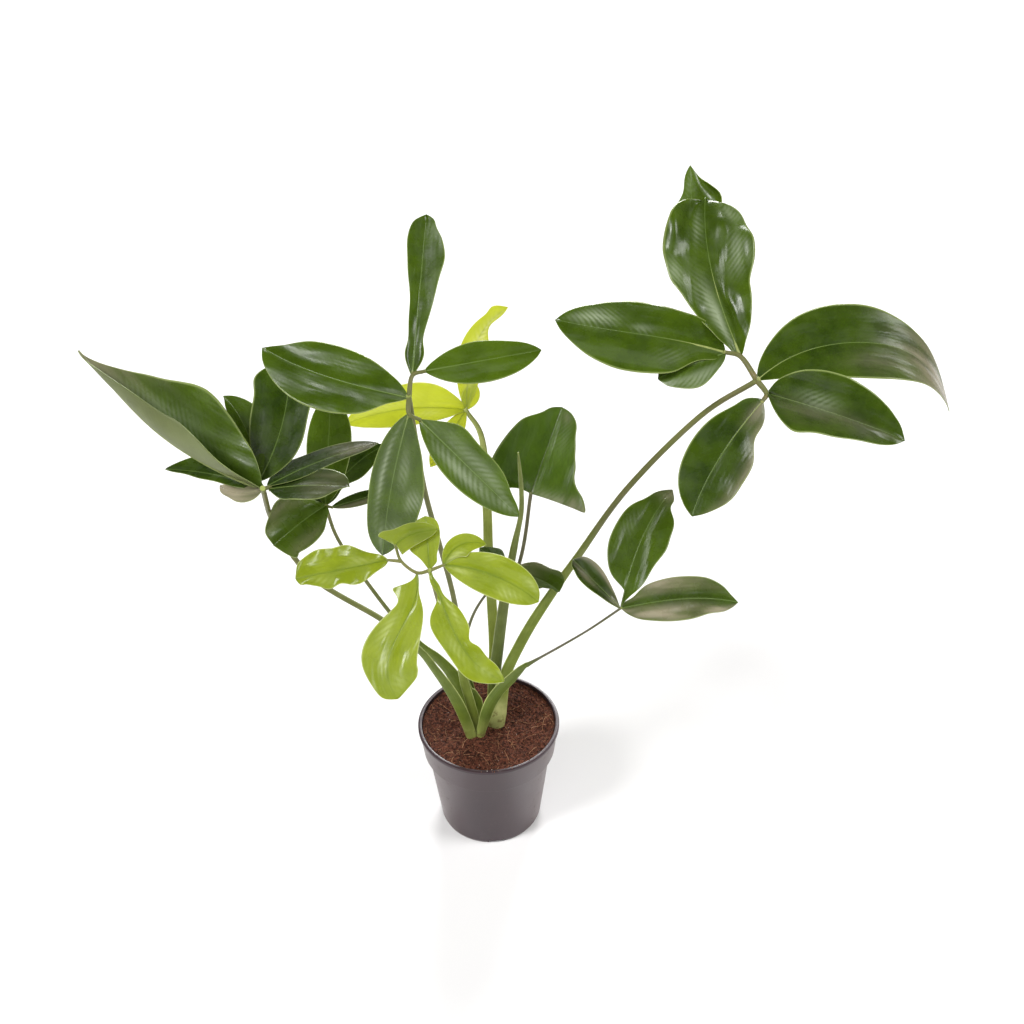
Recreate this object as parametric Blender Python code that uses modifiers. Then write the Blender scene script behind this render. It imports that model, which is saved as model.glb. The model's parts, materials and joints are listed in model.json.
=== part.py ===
# Potted philodendron with compound leaves, in a plastic nursery pot.
#
# Metres, +Z up. The origin is the middle of the pot's underside, X runs along the
# plant's widest reach, and -Y is the side that the fronds turn their faces to.
#
# The plant stands as two shoots in one pot. Each leaf is one solid: a stalk that
# starts as a flat sheath in a hole in the soil, short arms where a compound leaf
# branches, and a blade for each leaflet, all joined by one Boolean union.

import math
from collections import namedtuple

import bmesh
import bpy
from mathutils import Quaternion, Vector

MM = 0.001
GAP = 0.0003

# Pot: a 17 cm nursery pot with a collar below its rim
RIM_RADIUS = 0.085
POT_HEIGHT = 0.145
BASE_RADIUS = 0.062
WALL = 0.0014
COLLAR_HEIGHT = 0.037
COLLAR_STEP = 0.003
LIP_WIDTH = 0.003
LIP_HEIGHT = 0.004
FOOT_HEIGHT = 0.004
FOOT_WIDTH = 0.010
PAD_RADIUS = 0.020
POT_STEPS = 48
NOTCHES = 4
NOTCH_WIDTH = 0.019
NOTCH_TURN = math.radians(-82)
DRAIN_RADIUS = 0.005

# Soil
SOIL_TOP = 0.135
SOIL_RINGS = 6
SOIL_STEPS = 24
SOIL_RELIEF = 0.0018

# Leaves
FOOT_DEPTH = 0.012
STALK_SIDES = 8
STALK_RINGS_PER_SPAN = 2
ARM_SIDES = 6
BLADE_THICK = 0.0008
BLADE_ROWS = 10
BLADE_COLUMNS = 4
SMALL_BLADE_ROWS = 6
SMALL_BLADE = 0.085
EDGE_MIN = 0.0010
FOLD_START = 0.008
DROP_BEND = 6

YOUNG_GREEN = (0.42, 0.60, 0.03)
FRESH_GREEN = (0.10, 0.24, 0.02)
DARK_GREEN = (0.018, 0.070, 0.010)

# Sizes in the leaf table are in millimetres and its angles in degrees. A blade's root
# and tip are measured from its frond's hub. arch bends the midrib towards the blade's
# face, sway bends it to the right as seen from its root, and drop lets the tip hang.
# fill shapes the outline at the root and at the tip: 0.5 is round and 1 is a wedge.
# open leaves the root end wide, and lobe draws its corners back past the root.
Blade = namedtuple(
    "Blade",
    "tip width root roll twist arch sway drop fold cup wave waves fill lobe open",
    defaults=((0, 0, 0), 0, 0, (0, 0), (0, 0), 0, 0, 0.0, 0.0, 3, (0.8, 0.75), 0.0, 0.0),
)

# foot is the stalk's place in the soil, sheath its half width and half thickness
# there, turn the way that its flat side faces, and via the points that it passes.
# top is its radius at the hub, and taper says how early the sheath narrows to it.
# An arm is a branch of the stalk, from its first point to its last, from the hub.
Frond = namedtuple("Frond", "name colour foot sheath turn via hub top taper facing arms blades")

FRONDS = [
    Frond(
        "frond_right", DARK_GREEN, (11, 6), (9.5, 7.0), 270,
        [(19, 9, 172), (33, 13, 240), (58, 19, 288), (104, 27, 365), (158, 24, 452), (227, 12, 544)],
        (278, 0, 592), 3.2, 2.2, (0.12, -0.55, 0.83),
        [[(0, 0, 0), (-13, 21, 16), (-28, 24, 20)], [(0, 0, 0), (8, -11, -9), (3, -19, -13)]],
        [
            Blade((-28, 186, 126), 97, (-13, 21, 16), sway=(-13, -17), fold=6, wave=3, fill=(0.9, 0.55)),
            Blade((-37, 237, 145), 58, (-13, 21, 16), sway=(-8, -14), arch=(-18, -18), fill=(0.9, 0.8)),
            Blade((-196, 53, 52), 82, (-28, 24, 20), sway=(-3, -3), fold=-4, fill=(0.6, 0.7)),
            Blade((-96, 14, -12), 35, (-28, 24, 20), arch=(0, 6), fill=(0.6, 0.5)),
            Blade((219, 36, -62), 86, sway=(-62, 0), drop=90, fold=3, fill=(0.75, 0.65)),
            Blade((148, -33, -55), 77, (8, -11, -9), roll=8, sway=(-3, -4), fold=26, fill=(0.55, 0.75)),
            Blade((-79, -115, -83), 64, (3, -19, -13), sway=(7, 10), fold=10, wave=2),
        ],
    ),
    Frond(
        "frond_centre", DARK_GREEN, (-17, -9), (5.5, 3.8), 270,
        [(-20, -14, 180), (-24, -25, 233), (-32, -45, 359), (-44, -60, 447), (-55, -80, 530)],
        (-62, -100, 636), 2.5, 2.2, (-0.05, -0.6, 0.8),
        [[(0, 0, 0), (3, 17, 13), (14, 20, 16)], [(0, 0, 0), (0, -13, -9), (9, -17, -13)]],
        [
            Blade((-135, 56, 27), 66, sway=(-8, -11)),
            Blade((19, 141, 119), 37, (3, 17, 13), roll=50, twist=-50, sway=(0, 5), fold=20, fill=(0.8, 0.4)),
            Blade((121, 38, 23), 44, (14, 20, 16)),
            Blade((94, -88, -73), 42, (9, -17, -13), fold=4),
            Blade((-30, -4, -169), 51, (0, -13, -9), sway=(3, 3)),
        ],
    ),
    Frond(
        "frond_left", DARK_GREEN, (-26, -20), (6.0, 4.0), 270,
        [(-34, -25, 192), (-46, -30, 230), (-71, -38, 289), (-109, -50, 342), (-180, -46, 402), (-213, -32, 460)],
        (-204, -100, 545), 2.6, 2.2, (0.0, -0.15, 0.98),
        [[(0, 0, 0), (-6, 13, 2)], [(0, 0, 0), (6, 3, 0)]],
        [
            Blade((-160, 58, 120), 100, arch=(-38, -26), fold=50, fill=(0.7, 1.1)),
            Blade((-101, 47, -3), 28, sway=(8, 8)),
            Blade((-43, 85, 55), 46, (-6, 13, 2), sway=(8, 12), fold=25),
            Blade((17, 130, 80), 65, (-5, 12, 1), sway=(14, 14), fold=8),
            Blade((105, 63, 10), 34, (4, 3, 1), sway=(-8, -8)),
            Blade((81, -1, 0), 42, (5, 1, -1), sway=(-5, -5), fold=6, fill=(0.6, 0.5)),
            Blade((-42, 12, -3), 28, sway=(-12, -10), fold=-10),
        ],
    ),
    Frond(
        "frond_small_left", DARK_GREEN, (-8, 0), (6.0, 3.0), 270,
        [(-24, 2, 178), (-57, 6, 235), (-107, 4, 310), (-152, 1, 408)],
        (-164, 0, 460), 1.9, 2.6, (0.0, -0.45, 0.9),
        [[(0, 0, 0), (7, -2, -1)]],
        [
            Blade((-40, -92, 15), 47, sway=(2, 2), fill=(0.5, 0.4)),
            Blade((65, 19, 4), 17, (6, -2, -1), fold=5),
            Blade((13, 45, 112), 46),
            Blade((62, 58, 38), 34, sway=(-12, -12)),
            Blade((-24, 14, 8), 14),
        ],
    ),
    Frond(
        "frond_young_front", YOUNG_GREEN, (-15, -19), (4.0, 3.2), 270,
        [(-20, -26, 175), (-24, -42, 220), (-31, -62, 269), (-39, -100, 355), (-45, -140, 438)],
        (-50, -160, 488), 1.9, 2.0, (0.0, -0.6, 0.8),
        [
            [(0, 0, 0), (-12, -1, -1), (-26, 8, 6), (-31, 16, 18)],
            [(-26, 8, 6), (-38, 9, 7)], [(0, 0, 0), (13, 4, 3)],
        ],
        [
            Blade((-124, 5, 4), 42, (-38, 9, 7), wave=3, fill=(0.7, 0.35)),
            Blade((-31, -83, -81), 53, (-12, -1, -1), sway=(-16, 38), fill=(1.3, 0.45)),
            Blade((65, -73, -74), 30, sway=(6, 28), wave=2),
            Blade((99, -27, -20), 41, (13, 4, 3), sway=(-11, -11), fill=(0.7, 0.6)),
            Blade((53, 19, 14), 20, (13, 4, 3), sway=(-14, -14)),
            Blade((-3, 40, 34), 25, fill=(0.9, 0.4)),
            Blade((8, 26, 28), 24, (-31, 16, 18), sway=(-8, -4), fill=(0.4, 0.6), lobe=14, open=0.2),
        ],
    ),
    Frond(
        "frond_young_back", YOUNG_GREEN, (5, 33), (5.2, 4.2), 90,
        [(7, 33, 190), (9, 35, 233), (8, 40, 291), (6, 55, 360), (6, 70, 402), (3, 90, 482)],
        (-14, 100, 515), 2.2, 0.8, (0.0, -0.6, 0.8),
        [],
        [
            Blade((-132, -10, -8), 50, sway=(12, 14), fold=18),
            Blade((51, 101, 76), 32, sway=(-14, -32)),
            Blade((11, 26, 19), 20),
            Blade((-40, -53, -40), 26),
        ],
    ),
    Frond(
        "leaf_arrowhead", FRESH_GREEN, (10, 46), (3.2, 2.8), 60,
        [(9, 48, 190), (19, 58, 258), (42, 78, 334)],
        (57, 100, 403), 1.9, 2.0, (0.0, -0.75, 0.66),
        [],
        [Blade((38, 69, 79), 116, fold=25, roll=-12, fill=(0.4, 0.55), lobe=18, open=0.35)],
    ),
    Frond(
        "leaf_spike", FRESH_GREEN, (7, 20.5), (6.3, 5.8), 270,
        [(8, 20, 187), (12, 20, 227), (21, 20, 309), (33, 22, 382), (43, 22, 430)],
        (41, 21, 505), 1.0, 1.2, (0.0, -0.6, 0.8),
        [],
        [],
    ),
    Frond(
        "leaf_three_lobed", DARK_GREEN, (-6, -21), (6.0, 3.8), 0,
        [(-5, -26, 170), (-1, -30, 195), (14, -35, 230), (34, -40, 256), (103, -65, 332)],
        (141, -80, 373), 1.3, 2.6, (0.1, -0.6, 0.8),
        [],
        [
            Blade((64, 109, 74), 62, sway=(-10, -12), fill=(1.0, 0.8)),
            Blade((126, 12, -7), 47, sway=(-6, -12), fill=(0.6, 0.6)),
            Blade((-47, 40, 36), 28, fold=20, fill=(0.9, 0.4)),
        ],
    ),
    Frond(
        "leaf_small_back", DARK_GREEN, (-10, 14), (3.0, 2.6), 60,
        [(-15, 13, 175), (-25, 9, 242), (-18, 6, 290), (-2, 6, 326)],
        (26, 8, 360), 1.4, 2.0, (0.0, -0.5, 0.85),
        [],
        [
            Blade((60, -12, -2), 34, sway=(-6, -6), fill=(0.6, 0.35)),
            Blade((41, -8, -16), 18),
            Blade((-30, 14, 24), 23),
        ],
    ),
]


def clear_scene():
    for item in list(bpy.data.objects):
        bpy.data.objects.remove(item, do_unlink=True)


def new_collection(name):
    group = bpy.data.collections.new(name)
    bpy.context.scene.collection.children.link(group)
    return group


def material(name, colour, roughness):
    finish = bpy.data.materials.new(name)
    finish.use_nodes = True
    shader = finish.node_tree.nodes["Principled BSDF"]
    shader.inputs["Base Color"].default_value = (*colour, 1.0)
    shader.inputs["Roughness"].default_value = roughness
    shader.inputs["Metallic"].default_value = 0.0
    finish.diffuse_color = (*colour, 1.0)
    return finish


def add_object(name, mesh, group):
    item = bpy.data.objects.new(name, mesh)
    group.objects.link(item)
    return item


def evaluated_mesh(item):
    graph = bpy.context.evaluated_depsgraph_get()
    return bpy.data.meshes.new_from_object(item.evaluated_get(graph))


def bake(item):
    """Replace an object's mesh by the result of its modifiers."""
    mesh = evaluated_mesh(item)
    item.modifiers.clear()
    item.data = mesh


def boolean(item, operation, group):
    """Cut or join a whole collection in one step, then remove its objects."""
    step = item.modifiers.new(operation.lower(), "BOOLEAN")
    step.operation = operation
    step.operand_type = "COLLECTION"
    step.collection = group
    step.solver = "EXACT"
    bake(item)
    for tool in list(group.objects):
        bpy.data.objects.remove(tool, do_unlink=True)
    bpy.data.collections.remove(group)


def smooth(item, angle):
    item.data.shade_smooth()
    item.data.set_sharp_from_angle(angle=math.radians(angle))


def turned(name, profile, steps, group):
    """Turn a profile of (radius, height) points round Z."""
    mesh = bpy.data.meshes.new(name)
    points = [(radius, 0.0, height) for radius, height in profile]
    edges = [(i, i + 1) for i in range(len(points) - 1)]
    mesh.from_pydata(points, edges, [])
    item = add_object(name, mesh, group)
    screw = item.modifiers.new("turn", "SCREW")
    screw.steps = steps
    screw.render_steps = steps
    screw.use_merge_vertices = True
    screw.merge_threshold = 0.00001
    screw.use_normal_calculate = True
    bake(item)
    return item


# Pot

def wall_radius(height):
    """Outer radius of the tapered body, without its collar."""
    top = RIM_RADIUS - LIP_WIDTH - COLLAR_STEP
    return BASE_RADIUS + (top - BASE_RADIUS) * height / POT_HEIGHT


def collar_radius(height):
    return wall_radius(height) + COLLAR_STEP


def pot_profile():
    """The pot's section, down its outer side and back up its inner side."""
    collar = POT_HEIGHT - COLLAR_HEIGHT
    lip = POT_HEIGHT - LIP_HEIGHT
    floor = FOOT_HEIGHT + WALL
    channel_out = BASE_RADIUS - FOOT_WIDTH
    return [
        (collar_radius(POT_HEIGHT) + LIP_WIDTH * 0.5, POT_HEIGHT),
        (collar_radius(POT_HEIGHT) + LIP_WIDTH, POT_HEIGHT - LIP_HEIGHT * 0.3),
        (collar_radius(POT_HEIGHT) + LIP_WIDTH, lip),
        (collar_radius(lip), lip),
        (collar_radius(collar), collar),
        (wall_radius(collar), collar - COLLAR_STEP * 0.6),
        (wall_radius(FOOT_HEIGHT), FOOT_HEIGHT),
        (BASE_RADIUS - 0.001, 0.0),
        (channel_out, 0.0),
        (channel_out - 0.001, FOOT_HEIGHT),
        (PAD_RADIUS + 0.003, FOOT_HEIGHT),
        (PAD_RADIUS, 0.0),
        (0.0, 0.0),
        (0.0, floor),
        (wall_radius(floor) - WALL, floor),
        (wall_radius(collar) - WALL, collar),
        (collar_radius(collar) - WALL, collar + COLLAR_STEP * 0.6),
        (collar_radius(POT_HEIGHT) - WALL, POT_HEIGHT),
        (collar_radius(POT_HEIGHT) + LIP_WIDTH * 0.5, POT_HEIGHT),
    ]


def pot_cutters():
    """Notches through the foot ring, and drain holes in the channel inside it."""
    group = new_collection("pot_cutters")
    for index in range(NOTCHES):
        turn = NOTCH_TURN + index * 2.0 * math.pi / NOTCHES
        out = Vector((math.cos(turn), math.sin(turn), 0.0))
        bpy.ops.mesh.primitive_cube_add(size=1.0, location=out * (BASE_RADIUS - 0.5 * FOOT_WIDTH))
        notch = bpy.context.object
        notch.name = f"notch_{index}"
        notch.rotation_euler.z = turn
        notch.scale = (2.0 * FOOT_WIDTH, NOTCH_WIDTH, 2.0 * (FOOT_HEIGHT - WALL))
        move_to(notch, group)
        bpy.ops.mesh.primitive_cylinder_add(
            vertices=12, radius=DRAIN_RADIUS, depth=0.03,
            location=out * (BASE_RADIUS - FOOT_WIDTH - 2.0 * DRAIN_RADIUS),
        )
        drain = bpy.context.object
        drain.name = f"drain_{index}"
        move_to(drain, group)
    return group


def move_to(item, group):
    for old in list(item.users_collection):
        old.objects.unlink(item)
    group.objects.link(item)
    item.hide_render = True
    item.display_type = "WIRE"


def make_pot(group):
    pot = turned("pot", pot_profile(), POT_STEPS, group)
    boolean(pot, "DIFFERENCE", pot_cutters())
    smooth(pot, 35)
    pot.data.materials.clear()
    pot.data.materials.append(material("pot_plastic", (0.040, 0.036, 0.042), 0.45))
    return pot


# Leaves

def spline(points, per_span):
    """Points on a smooth curve through the given ones."""
    ends = [2.0 * points[0] - points[1], *points, 2.0 * points[-1] - points[-2]]
    path = []
    for i in range(1, len(ends) - 2):
        a, b, c, d = ends[i - 1:i + 3]
        for step in range(per_span):
            t = step / per_span
            path.append(0.5 * (
                2.0 * b + (c - a) * t
                + (2.0 * a - 5.0 * b + 4.0 * c - d) * t ** 2
                + (3.0 * b - a - 3.0 * c + d) * t ** 3
            ))
    path.append(points[-1])
    return path


def past_end(path, reach):
    """Lengthen a path, so that what starts at its end starts inside the tube."""
    ahead = (path[-1] - path[-2]).normalized()
    return [*path, path[-1] + ahead * reach]


def loft(name, path, radii, side, sides, group):
    """A closed tube along a path, with its own half width and half thickness at each point."""
    shape = bmesh.new()
    rings = []
    for i, point in enumerate(path):
        ahead = path[min(i + 1, len(path) - 1)] - path[max(i - 1, 0)]
        ahead.normalize()
        side = (side - ahead * side.dot(ahead)).normalized()
        other = ahead.cross(side)
        wide, thick = radii[i]
        ring = []
        for k in range(sides):
            angle = 2.0 * math.pi * k / sides
            offset = side * (wide * math.cos(angle)) + other * (thick * math.sin(angle))
            ring.append(shape.verts.new(point + offset))
        rings.append(ring)
    for low, high in zip(rings, rings[1:]):
        for k in range(sides):
            n = (k + 1) % sides
            shape.faces.new((low[k], low[n], high[n], high[k]))
    shape.faces.new(list(reversed(rings[0])))
    shape.faces.new(rings[-1])
    bmesh.ops.triangulate(shape, faces=shape.faces[:])
    mesh = bpy.data.meshes.new(name)
    shape.to_mesh(mesh)
    shape.free()
    return add_object(name, mesh, group)


def stalk_path(frond, deeper=0.0):
    x, y = frond.foot
    level = SOIL_TOP / MM
    feet = [(x, y, level - FOOT_DEPTH / MM - deeper / MM), (x, y, level - 4), (x, y, level + 4)]
    points = [Vector(p) * MM for p in [*feet, *frond.via, frond.hub]]
    return past_end(spline(points, STALK_RINGS_PER_SPAN), frond.top * MM)


def stalk_radii(frond, path, extra=0.0):
    """Half width and half thickness: a flat sheath that narrows to a round stalk."""
    wide, thick = frond.sheath
    last = len(path) - 1
    start = 2 * STALK_RINGS_PER_SPAN
    radii = []
    for i in range(len(path)):
        t = max(0, i - start) / (last - start)
        keep = (1.0 - t) ** frond.taper
        radii.append((
            (frond.top + (wide - frond.top) * keep) * MM + extra,
            (frond.top + (thick - frond.top) * keep) * MM + extra,
        ))
    return radii


def make_stalk(name, frond, group, extra=0.0):
    path = stalk_path(frond, extra)
    turn = math.radians(frond.turn + 90)
    side = Vector((math.cos(turn), math.sin(turn), 0.0))
    return loft(name, path, stalk_radii(frond, path, extra), side, STALK_SIDES, group)


def make_arm(name, frond, arm, group):
    hub = Vector(frond.hub) * MM
    path = past_end(spline([hub + Vector(p) * MM for p in arm], 2), 0.7 * frond.top * MM)
    last = len(path) - 1
    radii = []
    for i in range(len(path)):
        radius = frond.top * (0.95 - 0.3 * i / last) * MM
        radii.append((radius, radius))
    return loft(name, path, radii, Vector(frond.facing), ARM_SIDES, group)


def half_width(blade, u):
    """The outline: a wedge or round end at the root and at the tip."""
    root, point = blade.fill
    u = min(max(u, 0.0), 1.0)
    span = u * (1.0 - blade.open) + blade.open
    peak = root / (root + point)
    shape = (span / peak) ** root * ((1.0 - span) / (1.0 - peak)) ** point
    return max(0.5 * blade.width * MM * shape, EDGE_MIN)


def blade_frame(frond, blade):
    """Start, direction, face and right-hand side of a blade."""
    hub = Vector(frond.hub) * MM
    start = hub + Vector(blade.root) * MM
    end = hub + Vector(blade.tip) * MM
    ahead = (end - start).normalized()
    face = Vector(frond.facing)
    face = (face - ahead * face.dot(ahead)).normalized()
    face = Quaternion(ahead, math.radians(blade.roll)) @ face
    return start, end, ahead, face, ahead.cross(face)


def midrib(frond, blade):
    start, end, ahead, face, right = blade_frame(frond, blade)
    reach = (end - start).length
    one = start + ahead * reach / 3 + face * blade.arch[0] * MM + right * blade.sway[0] * MM
    two = start + ahead * reach * 2 / 3 + face * blade.arch[1] * MM + right * blade.sway[1] * MM
    return start, one, two, end


def along(blade, points, u):
    """Place and direction on the midrib: a cubic curve, with the tip hanging below it."""
    a, b, c, d = points
    v = 1.0 - u
    place = a * v ** 3 + b * (3 * v * v * u) + c * (3 * v * u * u) + d * u ** 3
    ahead = 3.0 * ((b - a) * (v * v) + (c - b) * (2 * v * u) + (d - c) * (u * u))
    drop = blade.drop * MM
    place.z += drop * (u - u ** DROP_BEND)
    ahead.z += drop * (1.0 - DROP_BEND * u ** (DROP_BEND - 1))
    return place, ahead.normalized()


def blade_point(frond, blade, u, v):
    """A point of the blade: u runs from root to tip, v from left to right edge."""
    curve = midrib(frond, blade)
    right = blade_frame(frond, blade)[4]
    place, ahead = along(blade, curve, u)
    right = (right - ahead * right.dot(ahead)).normalized()
    right = Quaternion(ahead, math.radians(blade.twist * u)) @ right
    face = right.cross(ahead)
    half = half_width(blade, u)
    fold = math.radians(blade.fold) * min(1.0, half / FOLD_START)
    out = v * half * math.cos(fold)
    lift = abs(v) * half * math.sin(fold) + blade.cup * v * v * half
    ripple = min(blade.wave * MM, half) * abs(v) ** 1.5 * math.sin(2.0 * math.pi * blade.waves * u + 1.3 * v)
    back = blade.lobe * MM * abs(v) ** 1.5 * (1.0 - u) ** 3
    return place + right * out + face * (lift + ripple) - ahead * back


def make_blade(name, frond, blade, group):
    """A grid laid along the midrib and given its thickness by Solidify."""
    start, _, _, end = midrib(frond, blade)
    rows = BLADE_ROWS if (end - start).length > SMALL_BLADE else SMALL_BLADE_ROWS
    shape = bmesh.new()
    bmesh.ops.create_grid(shape, x_segments=rows, y_segments=BLADE_COLUMNS, size=1.0)
    for vert in shape.verts:
        u = 0.5 * (vert.co.x + 1.0)
        vert.co = blade_point(frond, blade, u, vert.co.y)
    bmesh.ops.triangulate(shape, faces=shape.faces[:])
    bmesh.ops.recalc_face_normals(shape, faces=shape.faces[:])
    mesh = bpy.data.meshes.new(name)
    shape.to_mesh(mesh)
    shape.free()
    item = add_object(name, mesh, group)
    thick = item.modifiers.new("thickness", "SOLIDIFY")
    thick.thickness = BLADE_THICK
    thick.offset = 0.0
    bake(item)
    return item


def make_frond(frond, group):
    stalk = make_stalk(frond.name, frond, group)
    pieces = new_collection(frond.name + "_pieces")
    for i, arm in enumerate(frond.arms):
        make_arm(f"{frond.name}_arm_{i}", frond, arm, pieces)
    for i, blade in enumerate(frond.blades):
        make_blade(f"{frond.name}_blade_{i}", frond, blade, pieces)
    if frond.blades:
        boolean(stalk, "UNION", pieces)
    smooth(stalk, 40)
    stalk.data.materials.clear()
    stalk.data.materials.append(material(frond.name, frond.colour, 0.35))
    return stalk


# Soil

def soil_profile():
    """The plug's section: its top from the middle out, then down inside the pot's wall."""
    collar = POT_HEIGHT - COLLAR_HEIGHT
    floor = FOOT_HEIGHT + WALL + GAP
    rim = collar_radius(SOIL_TOP) - WALL - GAP
    top = [(rim * i / SOIL_RINGS, SOIL_TOP) for i in range(SOIL_RINGS + 1)]
    return top + [
        (collar_radius(collar) - WALL - GAP, collar + COLLAR_STEP),
        (wall_radius(collar) - WALL - GAP, collar),
        (wall_radius(floor) - WALL - GAP, floor),
        (0.0, floor),
    ]


def soil_relief(x, y):
    """Low waves that fade out towards the pot's wall."""
    rim = collar_radius(SOIL_TOP) - WALL - GAP
    fade = max(0.0, 1.0 - (math.hypot(x, y) / rim) ** 6)
    return SOIL_RELIEF * fade * (
        math.sin(95.0 * x + 1.0) * math.sin(110.0 * y) + 0.6 * math.sin(210.0 * x - 160.0 * y)
    )


def make_soil(group):
    soil = turned("soil", soil_profile(), SOIL_STEPS, group)
    for vert in soil.data.vertices:
        if vert.co.z > SOIL_TOP - MM:
            vert.co.z += soil_relief(vert.co.x, vert.co.y)
    flat = bmesh.new()
    flat.from_mesh(soil.data)
    bmesh.ops.triangulate(flat, faces=flat.faces[:])
    flat.to_mesh(soil.data)
    flat.free()
    holes = new_collection("soil_cutters")
    for frond in FRONDS:
        make_stalk(f"{frond.name}_hole", frond, holes, GAP)
    boolean(soil, "DIFFERENCE", holes)
    smooth(soil, 50)
    soil.data.materials.clear()
    soil.data.materials.append(material("coir_soil", (0.070, 0.030, 0.018), 0.95))
    return soil


def main():
    clear_scene()
    plant = new_collection("potted_philodendron")
    make_pot(plant)
    make_soil(plant)
    for frond in FRONDS:
        make_frond(frond, plant)


main()
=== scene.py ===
# %% [markdown]
# # A potted philodendron, dressed for its portrait
#
# The real plant is a young philodendron in a 17 cm nursery pot: ten leaves, most of
# them cut into glossy leaflets, that spread from two shoots in brown coir. The packed
# solids already stand in the right places, so this notebook dresses them. Each step
# first says what the thing is on the real plant and how it could be made, and then
# makes it. Everything is in metres, with +Z up.

# %% Load the fixed frame
import json
import math
import random
from collections import namedtuple

import bmesh
import bpy
import numpy as np
from mathutils import Matrix, Quaternion, Vector, noise

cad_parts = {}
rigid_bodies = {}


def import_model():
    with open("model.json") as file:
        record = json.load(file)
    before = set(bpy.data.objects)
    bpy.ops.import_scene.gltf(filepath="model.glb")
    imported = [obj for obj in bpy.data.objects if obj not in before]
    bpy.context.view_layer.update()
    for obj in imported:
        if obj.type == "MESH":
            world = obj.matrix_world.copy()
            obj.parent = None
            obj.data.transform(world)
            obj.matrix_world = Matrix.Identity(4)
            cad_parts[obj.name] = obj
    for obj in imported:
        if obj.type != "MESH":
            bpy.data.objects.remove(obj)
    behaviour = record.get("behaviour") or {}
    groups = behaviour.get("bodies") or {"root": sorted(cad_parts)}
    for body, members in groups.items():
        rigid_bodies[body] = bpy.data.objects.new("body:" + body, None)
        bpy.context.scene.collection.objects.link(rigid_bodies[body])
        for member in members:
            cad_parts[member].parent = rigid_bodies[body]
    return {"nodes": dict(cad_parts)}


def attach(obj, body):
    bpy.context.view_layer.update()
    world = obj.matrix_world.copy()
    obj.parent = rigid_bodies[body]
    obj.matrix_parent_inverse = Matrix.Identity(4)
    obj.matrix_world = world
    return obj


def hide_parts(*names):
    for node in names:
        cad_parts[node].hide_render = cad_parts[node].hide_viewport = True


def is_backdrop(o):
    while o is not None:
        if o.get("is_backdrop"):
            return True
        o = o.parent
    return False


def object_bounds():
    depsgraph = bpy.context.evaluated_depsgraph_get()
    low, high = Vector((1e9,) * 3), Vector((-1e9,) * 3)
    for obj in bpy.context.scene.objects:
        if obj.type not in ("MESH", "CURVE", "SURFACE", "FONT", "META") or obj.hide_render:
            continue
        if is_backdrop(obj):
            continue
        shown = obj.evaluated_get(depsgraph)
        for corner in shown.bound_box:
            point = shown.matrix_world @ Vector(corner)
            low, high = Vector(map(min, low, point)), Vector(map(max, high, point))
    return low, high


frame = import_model()
cad_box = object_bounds()
print("solids loaded:", len(frame["nodes"]))

MM = 0.001

# %% [markdown]
# ## Camera
#
# The portrait was taken from above and in front, with a normal lens. The pot's rim and
# its foot are two circles of known size, and the shape of their ellipses gives the
# camera's height, distance and tilt. It is made from those numbers, so that each leaf
# falls where the portrait shows it. A quaternion for each turn keeps the turns apart: the
# turn to the side, the tilt down, and a slight roll about the lens's own axis.

# %% Camera
CAMERA_PLACE = Vector((0.0, -1.014, 1.111))
CAMERA_DOWN = math.radians(33.3)
CAMERA_ASIDE = math.radians(1.8)
CAMERA_ROLL = math.radians(-0.86)
LENS_MM = 40.2
SENSOR_MM = 36.0

lens = bpy.data.cameras.new("portrait_lens")
lens.lens = LENS_MM
lens.sensor_width = SENSOR_MM
lens.clip_start = 0.02
camera = bpy.data.objects.new("portrait_camera", lens)
bpy.context.scene.collection.objects.link(camera)
aside = Quaternion((0.0, 0.0, 1.0), -CAMERA_ASIDE)
down = Quaternion((1.0, 0.0, 0.0), math.pi / 2.0 - CAMERA_DOWN)
roll = Quaternion((0.0, 0.0, 1.0), CAMERA_ROLL)
camera.rotation_mode = "QUATERNION"
camera.rotation_quaternion = aside @ down @ roll
camera.location = CAMERA_PLACE
bpy.context.scene.camera = camera
print("camera at", [round(c, 3) for c in camera.location])

# %% [markdown]
# ## Helpers for shader graphs
#
# The light and the materials are small graphs of nodes. The helpers below keep such a
# graph short to write. `fill` gives a socket its value, either a plain one or another
# node's output. Each of the others adds one node: any kind of node, a sum or a product,
# a mix of two colours, or a value spread from one range to another.

# %% Node helpers
def fill(tree, socket, value):
    """Give a socket a plain value, or link it to another node's output."""
    if isinstance(value, bpy.types.NodeSocket):
        tree.links.new(value, socket)
    else:
        socket.default_value = (*value, 1.0) if socket.type == "RGBA" else value


def add_node(tree, kind, settings=None, sockets=None):
    """A node of any kind, with its settings and the values of its sockets."""
    made = tree.nodes.new(kind)
    for name, value in (settings or {}).items():
        setattr(made, name, value)
    for name, value in (sockets or {}).items():
        fill(tree, made.inputs[name], value)
    return made


def maths(tree, operation, *values, clamp=False):
    """A sum, a product or another operation on numbers."""
    made = add_node(tree, "ShaderNodeMath", {"operation": operation, "use_clamp": clamp})
    for socket, value in zip(made.inputs, values):
        fill(tree, socket, value)
    return made.outputs[0]


def mix_colour(tree, share, first, second):
    """A mix of two colours: all the first where the share is 0, all the second at 1."""
    made = add_node(tree, "ShaderNodeMix", {"data_type": "RGBA"})
    for place, value in ((0, share), (6, first), (7, second)):
        fill(tree, made.inputs[place], value)
    return made.outputs[2]


def spread(tree, value, low, high, to_low=0.0, to_high=1.0):
    """Map a value from one range to another, with soft ends."""
    made = add_node(tree, "ShaderNodeMapRange", {"interpolation_type": "SMOOTHSTEP"})
    for socket, number in zip(made.inputs, (value, low, high, to_low, to_high)):
        fill(tree, socket, number)
    return made.outputs[0]


print("helpers ready")

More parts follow.
